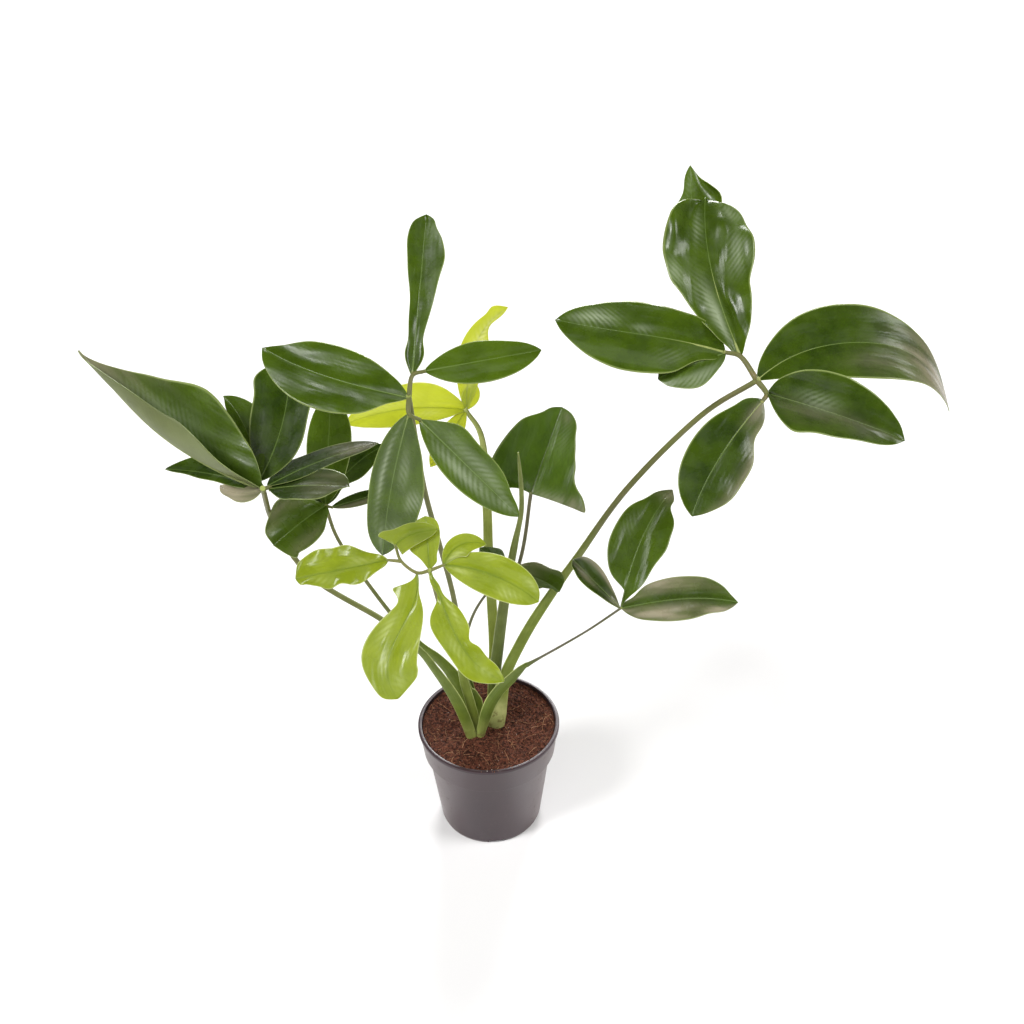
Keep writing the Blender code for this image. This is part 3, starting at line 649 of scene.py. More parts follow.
FRONDS = [
    Frond(
        "frond_right", "leaf_dark", (9, 1), 90,
        [
            (13, 5, 170), (21, 8, 208), (34, 12, 240), (59, 19, 288), (106, 27, 365),
            (157, 24, 454), (226, 12, 546),
        ],
        (278, 0, 592), 3.2, (0.12, -0.55, 0.83),
        [[(0, 0, 0), (-13, 21, 16), (-28, 24, 20)], [(0, 0, 0), (8, -11, -9), (3, -19, -13)]],
        [
            Blade(
                (-28, 186, 126), 97, (-13, 21, 16), sway=(-13, -17), fold=6, wave=3,
                fill=(0.9, 0.55),
                edge=((0.31, 0.10, -8, 0), (0.42, 0.12, 0, -7), (0.90, 0.08, 0, 7)), crumple=12,
                tone=0.25,
                bloom=(
                    (0.25, 0.20, -0.35, 0.22, 0.9), (0.62, 0.12, 0.65, 0.20, 0.6),
                    (0.52, 0.07, -0.85, 0.15, 0.7), (0.90, 0.06, 0.7, 0.25, 0.5),
                    (0.78, 0.10, -0.2, 0.10, 0.5),
                ),
            ),
            Blade(
                (-37, 237, 145), 58, (-13, 21, 16), sway=(-8, -14), arch=(-18, -18),
                fill=(0.9, 0.8), edge=((0.87, 0.07, -8, 0), (0.84, 0.06, 0, 26)),
                curl=((1, 0.86, 0.08, 0.35, 150),), crumple=3, tone=0.6,
                bloom=((0.9, 0.05, -0.3, 0.4, 0.4),),
            ),
            Blade(
                (-198, 53, 48), 82, (-28, 24, 20), sway=(8, -3), fold=-4, fill=(0.6, 0.7),
                edge=((0.14, 0.10, -12, 3), (0.65, 0.2, 3, 2)), crumple=4, tone=0.2,
                bloom=(
                    (0.78, 0.12, 0.4, 0.3, 0.9), (0.5, 0.06, 0.15, 0.12, 0.5),
                    (0.3, 0.1, -0.5, 0.2, 0.3),
                ),
            ),
            Blade(
                (-97, 14, -2), 35, (-28, 24, 20), arch=(0, 6), fill=(0.6, 0.5),
                edge=((0.55, 0.3, 9, 0),), crumple=3, tone=0.35,
                bloom=((0.5, 0.35, -0.7, 0.3, 0.6), (0.35, 0.15, 0.2, 0.2, 0.8)),
            ),
            Blade(
                (219, 36, -62), 86, sway=(-50, 2), drop=90, fold=3, fill=(0.75, 0.65),
                edge=((0.33, 0.2, 5, 0), (0.75, 0.15, -6, 0), (0.85, 0.12, 0, -4)), crumple=2,
                dry=(
                    (0.97, 0.24, 0.2, 1.6, 0.95), (0.72, 0.22, 0.5, 0.3, 0.5),
                    (0.8, 0.1, -0.1, 0.15, 0.8),
                ),
            ),
            Blade(
                (148, -33, -55), 77, (8, -11, -9), roll=8, sway=(-3, -4), fold=26,
                fill=(0.55, 0.75), edge=((0.17, 0.11, 0, 13), (0.65, 0.2, 0, -5)), crumple=4,
                dry=((0.5, 0.5, 0.3, 0.4, 0.2),), bloom=((0.35, 0.12, -0.2, 0.25, 0.5),),
            ),
            Blade(
                (-79, -115, -83), 64, (3, -19, -13), sway=(7, 10), fold=-4, wave=1, tone=-0.05,
                edge=((0.27, 0.11, -8, 0), (0.8, 0.15, 4, 2), (0.05, 0.07, 0, 5)),
                dry=((0.35, 0.5, -0.95, 0.25, 0.55), (0.05, 0.15, -0.3, 0.5, 0.5)),
            ),
        ],
        tone=0.12, stem="bulb",
        swell=(
            (127, 9.5, 8.0), (143, 11.0, 9.5), (154, 11.4, 9.4), (170, 10.2, 8.0),
            (190, 8.4, 6.4), (212, 7.0, 5.0), (240, 6.6, 4.4), (288, 6.2, 4.2), (330, 5.2, 4.0),
            (365, 4.2, 3.6), (420, 3.4, 3.3), (592, 2.8, 2.8),
        ),
    ),
    Frond(
        "frond_centre", "leaf_dark", (-13, -5), 270,
        [
            (-13, -4, 170), (-18, -6, 196), (-24, -12, 220), (-32, -45, 359), (-44, -60, 447),
            (-55, -80, 530),
        ],
        (-62, -100, 636), 2.5, (-0.05, -0.6, 0.8),
        [[(0, 0, 0), (3, 17, 13), (14, 20, 16)], [(0, 0, 0), (0, -13, -9), (9, -17, -13)]],
        [
            Blade(
                (-135, 56, 27), 66, sway=(-6, -11), edge=((0.12, 0.1, -6, 0), (0.9, 0.1, 0, -3)),
                crumple=3,
            ),
            Blade(
                (19, 141, 119), 35, (3, 17, 13), roll=10, twist=-10, fold=12, fill=(1.2, 0.4),
                edge=(
                    (0.11, 0.07, 8, 9), (0.5, 0.17, -5, 1), (0.72, 0.1, -2, 4),
                    (0.92, 0.05, 0, -4),
                ),
                curl=((0, 0.11, 0.08, 0.4, 80), (1, 0.11, 0.08, 0.4, 80)), crumple=3,
            ),
            Blade(
                (121, 38, 25), 44, (14, 20, 16), edge=((0.7, 0.2, -3, 0),), crumple=2, tone=0.25,
            ),
            Blade(
                (94, -88, -73), 42, (9, -17, -13), fold=4,
                edge=((0.25, 0.13, 6, 0), (0.85, 0.1, -3, 0)), crumple=2, tone=0.15,
                bloom=(
                    (0.5, 0.35, 0.4, 0.3, 0.6), (0.6, 0.3, -0.35, 0.25, 0.45),
                    (0.88, 0.08, 0.1, 0.3, 0.5),
                ),
            ),
            Blade(
                (-36, -4, -169), 51, (0, -13, -9), sway=(5, 5),
                edge=((0.9, 0.12, 0, 3), (0.5, 0.3, 7, -4), (0.76, 0.1, 4, 0)), crumple=3,
                tone=0.10,
                bloom=(
                    (0.42, 0.30, 0.5, 0.12, 0.8), (0.55, 0.07, -0.75, 0.20, 0.9),
                    (0.36, 0.12, -0.3, 0.14, 0.5), (0.80, 0.06, -0.3, 0.30, 0.5),
                    (0.86, 0.10, 0.2, 0.14, 0.5),
                ),
            ),
        ],
        tone=0.38,
        swell=(
            (127, 4.5, 3.5), (150, 5.0, 3.4), (170, 7.6, 3.0), (184, 8.2, 2.6), (196, 6.0, 2.6),
            (210, 3.6, 2.6), (240, 3.0, 2.8), (359, 2.8, 2.8), (636, 2.5, 2.5),
        ),
    ),
    Frond(
        "frond_left", "leaf_dark", (-22, -19), 270,
        [
            (-28, -20, 170), (-36, -24, 200), (-46, -28, 228), (-59, -32, 258), (-74, -36, 289),
            (-109, -48, 342), (-180, -46, 402), (-213, -32, 460),
        ],
        (-204, -100, 545), 2.6, (0.0, -0.15, 0.98),
        [[(0, 0, 0), (-6, 13, 2)], [(0, 0, 0), (6, 3, 0)]],
        [
            Blade(
                (-160, 58, 120), 100, arch=(-38, -26), fold=50, fill=(0.7, 1.1), tone=0.45,
                edge=((0.5, 0.3, -8, 0), (0.5, 0.22, 0, 12), (0.9, 0.08, 0, -5)),
                curl=((0, 0.55, 0.4, 0.0, 75),), mid=((0.55, 0.25, -5, 0),), crumple=4,
                dry=((0.95, 0.22, 0.0, 3.0, 0.6),),
                bloom=((0.6, 0.3, 0.3, 0.3, 0.35), (0.6, 0.3, -0.3, 0.3, 0.35)),
            ),
            Blade((-101, 47, -3), 28, sway=(8, 8), edge=((0.8, 0.15, -5, 12), (0.5, 0.2, -5, 0))),
            Blade(
                (-43, 85, 55), 46, (-6, 13, 2), sway=(8, 12), fold=8, edge=((0.65, 0.3, -11, 0),),
                tone=0.5,
            ),
            Blade(
                (17, 130, 80), 65, (-5, 12, 1), sway=(14, 14), fold=8,
                edge=((0.8, 0.12, 9, 0), (0.94, 0.06, -9, 0), (0.5, 0.2, 0, -8)), crumple=2,
            ),
            Blade(
                (105, 63, 10), 34, (4, 3, 1), sway=(-8, -8),
                edge=((0.2, 0.15, 6, 0), (0.6, 0.3, 0, -7)), tone=-0.5,
                dry=((0.9, 0.25, 0.0, 2.0, 0.35),),
            ),
            Blade(
                (81, -1, 0), 42, (5, 1, -1), sway=(-5, -5), fold=6, fill=(0.6, 0.5),
                edge=((0.88, 0.12, 0, -8), (0.15, 0.1, 0, 4), (0.5, 0.3, 3, 0)), crumple=3,
                tone=-0.3, dry=((0.8, 0.4, 0.0, 2.0, 0.2),),
            ),
            Blade(
                (-42, 12, -3), 28, sway=(-12, -10), fold=-10, edge=((0.65, 0.25, -7, 0),),
                crumple=3, dry=((0.5, 2.0, 0.0, 3.0, 0.95),),
            ),
        ],
        tone=0.05,
        swell=(
            (127, 6.0, 5.0), (143, 6.6, 5.0), (170, 7.0, 4.6), (200, 7.0, 4.2), (228, 6.2, 3.8),
            (258, 5.0, 3.4), (289, 4.2, 3.2), (342, 3.4, 3.0), (402, 2.8, 2.8), (545, 2.6, 2.6),
        ),
    ),
    Frond(
        "frond_small_left", "leaf_dark", (-14, -1), 270,
        [
            (-24, 1, 178), (-40, 2, 218), (-57, 5, 242), (-76, 6, 263), (-107, 4, 312),
            (-152, 1, 408),
        ],
        (-164, 0, 460), 1.9, (0.0, -0.45, 0.9), [[(0, 0, 0), (7, -2, -1)]],
        [
            Blade(
                (-40, -92, 15), 49, roll=-28, sway=(2, 2), fill=(0.5, 0.4),
                edge=((0.5, 0.2, 0, 8), (0.9, 0.07, 7, 0), (0.12, 0.08, -3, 0)), crumple=4,
                tone=0.5, dry=((0.6, 0.35, 0.8, 0.3, 0.4), (0.6, 0.35, -0.8, 0.3, 0.3)),
            ),
            Blade((65, 19, 4), 17, (6, -2, -1), fold=5, dry=((0.5, 1.0, 0.8, 0.6, 0.6),)),
            Blade((13, 45, 112), 46, edge=((0.7, 0.2, 0, 2),), tone=0.5),
            Blade((62, 58, 38), 34, sway=(-12, -12), edge=((0.3, 0.15, 0, -7),)),
            Blade((-21, 12, 6), 14),
        ],
        tone=0.05,
        swell=(
            (127, 5.0, 3.6), (178, 7.6, 3.4), (218, 7.8, 3.0), (242, 6.0, 2.8), (263, 3.8, 2.4),
            (312, 2.4, 2.1), (408, 1.9, 1.9),
        ),
    ),
    Frond(
        "frond_young_front", "leaf_young", (-15, -12), 270,
        [
            (-18, -13, 170), (-22, -16, 197), (-26, -20, 222), (-31, -40, 275), (-39, -95, 355),
            (-45, -140, 438),
        ],
        (-50, -160, 488), 1.9, (0.0, -0.6, 0.8),
        [
            [(0, 0, 0), (-12, -1, -1), (-26, 8, 6), (-31, 16, 18)], [(-26, 8, 6), (-38, 9, 7)],
            [(0, 0, 0), (13, 4, 3)],
        ],
        [
            Blade(
                (-123, -3, -2), 42, (-38, 9, 7), wave=3, fill=(0.7, 0.35),
                edge=(
                    (0.45, 0.15, 0, 5), (0.8, 0.15, -8, 3), (0.55, 0.1, -6, 0),
                    (0.92, 0.07, -5, 0),
                ),
                crumple=3, bloom=((0.3, 0.1, 0.3, 0.2, 0.5), (0.75, 0.1, -0.5, 0.25, 0.5)),
            ),
            Blade(
                (-31, -83, -81), 53, (-12, -1, -1), sway=(-16, 38), fill=(1.3, 0.45),
                edge=((0.16, 0.08, -4, 17), (0.88, 0.12, 3, -8), (0.95, 0.05, 4, 0)), crumple=3,
                bloom=(
                    (0.5, 0.12, 0.55, 0.2, 0.6), (0.72, 0.08, 0.2, 0.2, 0.4),
                    (0.9, 0.08, -0.3, 0.3, 0.3),
                ),
            ),
            Blade(
                (65, -73, -74), 30, sway=(6, 28), wave=2,
                edge=(
                    (0.2, 0.09, -7, -9), (0.06, 0.06, -3, 0), (0.6, 0.06, -6, 0),
                    (0.92, 0.08, 4, 0), (0.38, 0.12, 0, 4), (0.8, 0.12, 0, 4),
                ),
                bloom=(
                    (0.33, 0.12, -0.5, 0.16, 0.7), (0.62, 0.1, 0.4, 0.25, 0.5),
                    (0.85, 0.08, 0.0, 0.3, 0.4),
                ),
            ),
            Blade(
                (99, -27, -20), 41, (13, 4, 3), sway=(-11, -11), fill=(0.7, 0.6), crumple=3,
                bloom=(
                    (0.72, 0.12, 0.55, 0.22, 0.9), (0.15, 0.10, 0.3, 0.15, 0.6),
                    (0.4, 0.06, -0.75, 0.14, 0.5), (0.85, 0.08, -0.6, 0.2, 0.5),
                ),
            ),
            Blade(
                (53, 19, 14), 20, (13, 4, 3), sway=(-14, -14), fold=12, edge=((0.5, 0.2, 0, 4),),
                bloom=((0.3, 0.25, 0.6, 0.3, 0.8),),
            ),
            Blade(
                (-3, 40, 34), 25, fill=(0.9, 0.4), edge=((0.42, 0.15, 7, 0), (0.15, 0.08, 0, 3)),
            ),
            Blade(
                (8, 26, 28), 24, (-31, 16, 18), sway=(-8, -4), fill=(0.4, 0.6), lobe=(3, 3),
                open=0.2, edge=((0.03, 0.12, 9, 0),),
            ),
        ],
        tone=0.35,
        swell=(
            (127, 4.6, 4.0), (150, 5.6, 4.0), (172, 5.8, 3.6), (200, 5.6, 3.4), (222, 5.4, 3.2),
            (250, 4.4, 2.8), (280, 2.8, 2.4), (355, 2.2, 2.2), (488, 1.9, 1.9),
        ),
    ),
    Frond(
        "frond_young_back", "leaf_young", (5, 33), 90,
        [(7, 33, 190), (9, 35, 233), (8, 40, 291), (6, 55, 360), (6, 70, 402), (3, 90, 482)],
        (-14, 100, 515), 2.2, (0.0, -0.6, 0.8), [],
        [
            Blade(
                (-132, -10, -8), 50, sway=(12, 14), fold=18, edge=((0.25, 0.25, 0, 7),),
                crumple=3, bloom=((0.7, 0.3, 0.4, 0.3, 0.3), (0.3, 0.1, -0.4, 0.3, 0.3)),
            ),
            Blade(
                (51, 101, 76), 32, sway=(-14, -32),
                edge=((0.78, 0.12, 0, -9), (0.93, 0.05, 7, 0)),
                bloom=((0.6, 0.35, 0.2, 0.5, 0.9),),
            ),
            Blade((11, 26, 19), 20),
            Blade((-40, -53, -40), 26, tone=-0.2),
        ],
        tone=0.35, look="leaf_yellow", stem="yellow",
        swell=(
            (127, 6.2, 4.6), (283, 5.9, 4.2), (411, 5.2, 4.0), (460, 4.0, 3.4), (515, 2.4, 2.4),
        ),
    ),
    Frond(
        "leaf_arrowhead", "leaf_fresh", (10, 46), 60,
        [(9, 48, 190), (20, 58, 258), (45, 78, 334)], (57, 100, 403), 2.2, (0.0, -0.75, 0.66), [],
        [
            Blade(
                (40, 66, 77), 116, fold=25, roll=-12, fill=(0.4, 0.55), lobe=(14, 8), open=0.35,
                edge=(
                    (0.87, 0.1, -8, 0), (0.5, 0.15, 0, -8), (0.7, 0.12, 0, -6),
                    (0.0, 0.12, -18, 24), (0.13, 0.06, 0, 6), (0.3, 0.08, 0, -4),
                ),
                hem=((0, 0.15, 60),), crumple=3,
                dry=(
                    (0.0, 0.09, 0.9, 0.30, 0.9), (0.0, 0.05, 0.5, 0.40, 0.6),
                    (0.9, 0.08, 0.5, 0.3, 0.3),
                ),
                bloom=((0.0, 0.08, 0.4, 0.40, 0.6), (0.7, 0.2, 0.5, 0.3, 0.3)),
            ),
        ],
        tone=0.22, stem="brown", sheath=(3.2, 2.8), taper=2.2,
    ),
    Frond(
        "leaf_spike", "leaf_fresh", (7, 18), 270,
        [
            (8, 19, 187), (12, 20, 227), (22, 20, 309), (34, 22, 382), (42, 22, 425),
            (43, 22, 455), (41, 21, 490),
        ],
        (40, 20, 505), 0.8, (0.0, -0.6, 0.8), [], [], tone=0.35,
        swell=(
            (127, 7.0, 6.5), (187, 7.2, 6.0), (227, 7.0, 5.4), (283, 6.4, 5.0), (309, 6.0, 4.6),
            (350, 4.8, 3.8), (382, 4.2, 3.4), (412, 3.0, 2.7), (440, 2.7, 2.3), (470, 2.4, 2.0),
            (492, 1.7, 1.5), (505, 0.8, 0.8),
        ),
    ),
    Frond(
        "leaf_three_lobed", "leaf_dark", (-10, -18), 270,
        [
            (-5, -18, 164), (-1, -20, 181), (5, -22, 199), (14, -25, 217), (24, -29, 233),
            (33, -32, 247), (42, -36, 261), (51, -39, 269), (104, -65, 329),
        ],
        (141, -80, 373), 1.3, (0.1, -0.6, 0.8), [],
        [
            Blade(
                (68, 111, 76), 62, sway=(-10, -14), fill=(1.0, 0.8), mid=((0.97, 0.08, -7, 0),),
                edge=(
                    (0.08, 0.09, -13, -3), (0.38, 0.15, 3, -5), (0.82, 0.08, -5, -2),
                    (0.87, 0.05, 0, -7), (0.65, 0.1, 0, -3), (0.13, 0.05, -4, 0),
                ),
                tone=0.15, crumple=3, dry=((0.97, 0.08, 0.0, 2.0, 0.5),),
                bloom=((0.6, 0.1, -0.6, 0.2, 0.4),),
            ),
            Blade(
                (126, 12, -7), 47, sway=(-6, -12), fill=(0.6, 0.6),
                edge=((0.12, 0.08, -5, 1), (0.75, 0.12, 2, -3), (0.95, 0.04, -3, -1)), crumple=5,
                tone=-0.15,
                dry=(
                    (0.30, 0.4, 0.6, 0.4, 0.95), (0.4, 0.35, -0.75, 0.3, 0.95),
                    (0.8, 0.2, 0.8, 0.3, 0.95),
                ),
            ),
            Blade(
                (-47, 40, 36), 28, fold=20, fill=(0.9, 0.4), edge=((0.88, 0.1, -4, 0),),
                crumple=8, tone=-0.35,
                dry=(
                    (0.05, 0.2, 0.0, 1.0, 0.8), (0.5, 0.6, 0.95, 0.25, 0.9),
                    (0.7, 0.3, -0.3, 0.3, 0.5),
                ),
            ),
        ],
        tone=0.42, stem="thin",
        swell=(
            (127, 5.2, 4.0), (146, 5.8, 4.0), (170, 7.0, 3.8), (200, 7.6, 3.4), (217, 7.4, 3.2),
            (233, 7.0, 3.0), (247, 5.8, 2.8), (258, 4.2, 2.4), (267, 2.2, 1.8), (280, 1.4, 1.4),
            (332, 1.2, 1.2), (373, 1.3, 1.3),
        ),
    ),
    Frond(
        "leaf_small_back", "leaf_dark", (-8, 16), 60,
        [(-15, 13, 175), (-25, 9, 242), (-18, 6, 290), (-2, 6, 326)], (26, 8, 360), 1.4,
        (0.0, -0.5, 0.85), [],
        [
            Blade(
                (56, -26, -10), 34, sway=(-6, -8), fill=(0.6, 0.35), fold=-10,
                edge=(
                    (0.8, 0.12, 6, -4), (0.6, 0.3, 0, -9), (0.4, 0.2, 5, 0), (0.9, 0.08, 0, -6),
                ),
                crumple=2, tone=0.35,
                dry=((0.3, 0.35, -0.95, 0.3, 0.7), (0.3, 0.25, 0.0, 1.0, 0.3)),
            ),
            Blade((41, -8, -16), 18),
            Blade((-30, 14, 24), 23, edge=((0.5, 0.2, 0, 4),)),
        ],
        tone=0.25, stem="thin", sheath=(3.0, 2.6), taper=2.0,
    ),
]
print("leaves:", len(FRONDS), "leaflets:", sum(len(frond.blades) for frond in FRONDS))

# %% [markdown]
# ## Leaflets
#
# A leaflet is a thin curved sheet. It could be carved from a plane by hand, but there
# are more than forty of them, so each is laid out by its midrib: a curve from root to
# tip, with an outline that says how far the blade reaches to either side. The
# cross-section is walked outwards from the midrib in small steps, each at its own angle,
# so a margin can roll over without tearing. A Subdivision modifier rounds the sheet off,
# and a Solidify modifier gives it a real thickness, with the underside and the thin
# margin in materials of their own.

# %% Midrib and outline
EDGE_MIN = 0.4
TIP_MIN = 0.25
FOLD_START = 8.0
DROP_BEND = 6
ACROSS = (0.03, 0.10, 0.22, 0.36, 0.50, 0.64, 0.78, 0.90, 1.0)


def unit(rows):
    """Each row of a list of arrows, at length 1."""
    return rows / np.linalg.norm(rows, axis=-1, keepdims=True)


def blade_axes(frond, blade):
    """Start and end of a leaflet in millimetres, and its directions."""
    start = np.array(frond.hub, float) + np.array(blade.root, float)
    end = np.array(frond.hub, float) + np.array(blade.tip, float)
    ahead = unit(end - start)
    face = np.array(frond.facing, float)
    face = Vector(unit(face - ahead * face.dot(ahead)))
    face = np.array(Quaternion(Vector(ahead), math.radians(blade.roll)) @ face)
    return start, end, ahead, face, np.cross(ahead, face)


def midrib(frond, blade, u):
    """Points and directions along the midrib, for each u from 0 at the root to 1."""
    a, d, ahead, face, right = blade_axes(frond, blade)
    reach = np.linalg.norm(d - a)
    b = a + ahead * reach / 3 + face * blade.arch[0] + right * blade.sway[0]
    c = a + ahead * reach * 2 / 3 + face * blade.arch[1] + right * blade.sway[1]
    u = np.asarray(u, float)[:, None]
    v = 1.0 - u
    place = a * v ** 3 + b * (3 * v * v * u) + c * (3 * v * u * u) + d * u ** 3
    along = 3.0 * ((b - a) * (v * v) + (c - b) * (2 * v * u) + (d - c) * (u * u))
    place[:, 2] += blade.drop * (u - u ** DROP_BEND)[:, 0]
    along[:, 2] += blade.drop * (1.0 - DROP_BEND * u ** (DROP_BEND - 1))[:, 0]
    for at, extent, out, aside in blade.mid:
        bump = np.exp(-((u - at) / extent) ** 2)
        slope = -2.0 * (u - at) / extent ** 2 * bump
        shift = face * out + right * aside
        place = place + shift * bump
        along = along + shift * slope
    return place, unit(along)


def turned(frond, blade, ahead, u):
    """Directions to the midrib's right and out of the face, with the leaflet's twist."""
    right = blade_axes(frond, blade)[4]
    right = unit(right - ahead * (ahead @ right)[:, None])
    turn = np.radians(blade.twist * u)[:, None]
    right = right * np.cos(turn) + np.cross(ahead, right) * np.sin(turn)
    return right, np.cross(right, ahead)


def outline(blade, u):
    """Half widths to the left and to the right of the midrib."""
    root, point = blade.fill
    run = u * (1.0 - blade.open) + blade.open
    peak = root / (root + point)
    shape = (run / peak) ** root * ((1.0 - run) / (1.0 - peak)) ** point
    least = EDGE_MIN + (TIP_MIN - EDGE_MIN) * u
    sides = []
    for side in (2, 3):
        half = 0.5 * blade.width * shape
        for change in blade.edge:
            half = half + change[side] * np.exp(-((u - change[0]) / change[1]) ** 2)
        sides.append(np.maximum(half, least))
    return sides


print("rows across a leaflet:", 2 * len(ACROSS) + 1)

# %% The sheet of one leaflet
# Two sizes of crumples: how fine they are along and across a leaflet, their place in
# the noise, and how strong they are
CRUMPLES = ((0.016, 0.050, 0.0, 1.0), (0.045, 0.110, 5.0, 0.35))
WAVES = 3
SIDE_PHASE = 1.3


def cross_section(blade, u, half, side):
    """Walk out from the midrib: how far out and how high each step lies."""
    fold = math.radians(blade.fold) * np.minimum(1.0, half / FOLD_START)
    out, lift, last = np.zeros_like(u), np.zeros_like(u), 0.0
    found = []
    for v in ACROSS:
        middle = 0.5 * (v + last)
        angle = fold.copy()
        for at_side, place, reach, start, degrees in blade.curl:
            if at_side == side and middle > start:
                strength = np.exp(-((u - place) / reach) ** 2)
                rolled = ((middle - start) / (1.0 - start)) ** 1.2
                angle = angle + math.radians(degrees) * strength * rolled
        out = out + np.cos(angle) * half * (v - last)
        lift = lift + np.sin(angle) * half * (v - last)
        last = v
        found.append((v, out, lift))
    return found


def blade_rows(frond, blade, rows):
    """All points of a leaflet, with their place across and their distance from the midrib."""
    u = np.linspace(0.0, 1.0, rows + 1)
    place, ahead = midrib(frond, blade, u)
    right, face = turned(frond, blade, ahead, u)
    halves = outline(blade, u)
    reach_mm = np.linalg.norm(place[-1] - place[0])
    columns = [(0.0, place, np.zeros_like(u))]
    for side, sign in ((0, -1.0), (1, 1.0)):
        half = halves[side]
        for v, out, lift in cross_section(blade, u, half, side):
            phase = 2.0 * math.pi * WAVES * u + SIDE_PHASE * sign * v
            ripple = np.minimum(blade.wave, half) * v ** 1.5 * np.sin(phase)
            back, up = rolled_hem(u, side, v, blade, reach_mm)
            rise = lift + ripple + up
            point = place + right * (sign * out)[:, None] + face * rise[:, None]
            columns.append((sign * v, point - ahead * back[:, None], sign * v * half))
    columns.sort(key=lambda column: column[0])
    return u, columns, face


def rolled_hem(u, side, v, blade, reach_mm):
    """How far a lobe reaches back, and how its rear margin is rolled forward and up."""
    lobe = blade.lobe[side] * v ** 1.5
    back, lift = lobe * (1.0 - u) ** 3, np.zeros_like(u)
    for at_side, extent, degrees in blade.hem:
        angle = math.radians(degrees) * math.sin(math.pi * min(v, 0.92)) ** 0.6
        if at_side == side and angle > 0.05:
            run = np.maximum(0.0, extent - u) * reach_mm
            run = run + np.maximum(0.0, lobe * ((1.0 - u) ** 3 - (1.0 - extent) ** 3))
            radius = run[0] / angle
            back = back - run + radius * np.sin(run / radius)
            lift = radius * (1.0 - np.cos(run / radius))
    return back, lift


def crumpled(point, face, amount, v, along, away, own):
    """Shift a point a little along the leaflet's face, by slow noise drawn out along it."""
    slow = sum(
        strength * noise.noise(Vector((lengthwise * along, crosswise * away, own + layer)))
        for lengthwise, crosswise, layer, strength in CRUMPLES
    )
    return point + face * (amount * slow * min(1.0, abs(v) * 3.0))


print("ready to lay out leaflets")

# %% Build the leaflets of each leaf
BLADE_THICK = 0.0006
LONG_ROWS = 30
SHORT_ROWS = 20
LONG_BLADE = 85.0
# Each point carries its tone, a number of its own, and how much of a dry and painted sheen patch
# and of a painted highlight lies on it
POINT_VALUES = ("tone", "own", "dry", "bloom")


def strongest(patches, u, v):
    """How strongly the patches of one kind cover a spot of a leaflet, from 0 to 1."""
    found = [
        strength * math.exp(-((u - at) / reach) ** 2 - ((v - across) / width) ** 2)
        for at, reach, across, width, strength in patches
    ]
    return max([0.0, *found])


def add_blade(sheet, frond, blade, layers):
    """Add one leaflet's grid to a leaf's sheet, with its UV maps and its point values."""
    length = np.linalg.norm(np.array(blade.tip, float) - np.array(blade.root, float))
    rows = LONG_ROWS if length > LONG_BLADE else SHORT_ROWS
    u, columns, face = blade_rows(frond, blade, rows)
    leaf_map, ruler_map, *value_layers = layers
    # A number of its own gives each leaflet its own crumples and streaks
    own = 0.11 * blade.tip[0] + 0.07 * blade.tip[2]
    grid = []
    for i in range(len(u)):
        row = []
        for v, points, away in columns:
            spot = crumpled(points[i], face[i], blade.crumple, v, u[i] * length, away[i], own)
            vert = sheet.verts.new(Vector(spot) * MM)
            # How much of a dry and painted sheen patch, and of a painted highlight, lies on this
            # point
            dry_and_sheen_share, highlight_share = (strongest(patches, u[i], v) for patches in (blade.dry, blade.bloom))
            for layer, value in zip(value_layers, (frond.tone + blade.tone, own, dry_and_sheen_share, highlight_share)):
                vert[layer] = value
            row.append((vert, (u[i], 0.5 * (v + 1.0)), (u[i] * length * MM, away[i] * MM)))
        grid.append(row)
    for low, high in zip(grid, grid[1:]):
        for k in range(len(low) - 1):
            corners = (low[k], low[k + 1], high[k + 1], high[k])
            made = sheet.faces.new([corner[0] for corner in corners])
            made.smooth = True
            for loop, corner in zip(made.loops, corners):
                loop[leaf_map].uv = corner[1]
                loop[ruler_map].uv = corner[2]


def as_mesh(shape, name, finishes=()):
    """Turn a worked-out shape into a mesh with its materials."""
    mesh = bpy.data.meshes.new(name)
    shape.to_mesh(mesh)
    shape.free()
    for finish in finishes:
        mesh.materials.append(finish)
    return mesh


def new_piece(shape, name, finishes):
    """Put a shape in the scene as a piece that rides with the plant."""
    piece = bpy.data.objects.new(name, as_mesh(shape, name, finishes))
    bpy.context.scene.collection.objects.link(piece)
    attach(piece, "root")
    return piece


def map_layers(shape, *labels):
    """The two UV maps of a leaf or stalk, and a layer for each value at its points."""
    maps = [shape.loops.layers.uv.new(name) for name in ("leaf", "ruler")]
    return [*maps, *[shape.verts.layers.float.new(label) for label in labels]]


def make_blades(frond):
    """All the leaflets of one leaf, as one piece."""
    sheet = bmesh.new()
    layers = map_layers(sheet, *POINT_VALUES)
    for blade in frond.blades:
        add_blade(sheet, frond, blade, layers)
    finishes = leaf_finishes[frond.look or frond.slot]
    piece = new_piece(sheet, frond.name + "_blades", finishes)
    smoothing = piece.modifiers.new("rounded", "SUBSURF")
    smoothing.levels = smoothing.render_levels = 1
    thickness = piece.modifiers.new("thickness", "SOLIDIFY")
    thickness.thickness = BLADE_THICK
    thickness.offset = 0.0
    thickness.material_offset = 1
    thickness.material_offset_rim = 2
    return piece


leaf_pieces = {}
for frond in FRONDS:
    if frond.blades:
        leaf_pieces[frond.name] = [make_blades(frond)]
print("leaves with leaflets:", len(leaf_pieces))

# %% [markdown]
# ## Stalks
#
# A stalk is a tube along a smooth curve through the points of the table: a wide, flat
# sheath with thin margins at the soil, and a round petiole higher up. The same tube
# maker draws the short branches at the hub and the midrib that stands out under each
# leaflet. A curve object with a bevel could do the petiole, but not the sheath, whose
# section changes on the way, so the rings are laid out in mesh code.

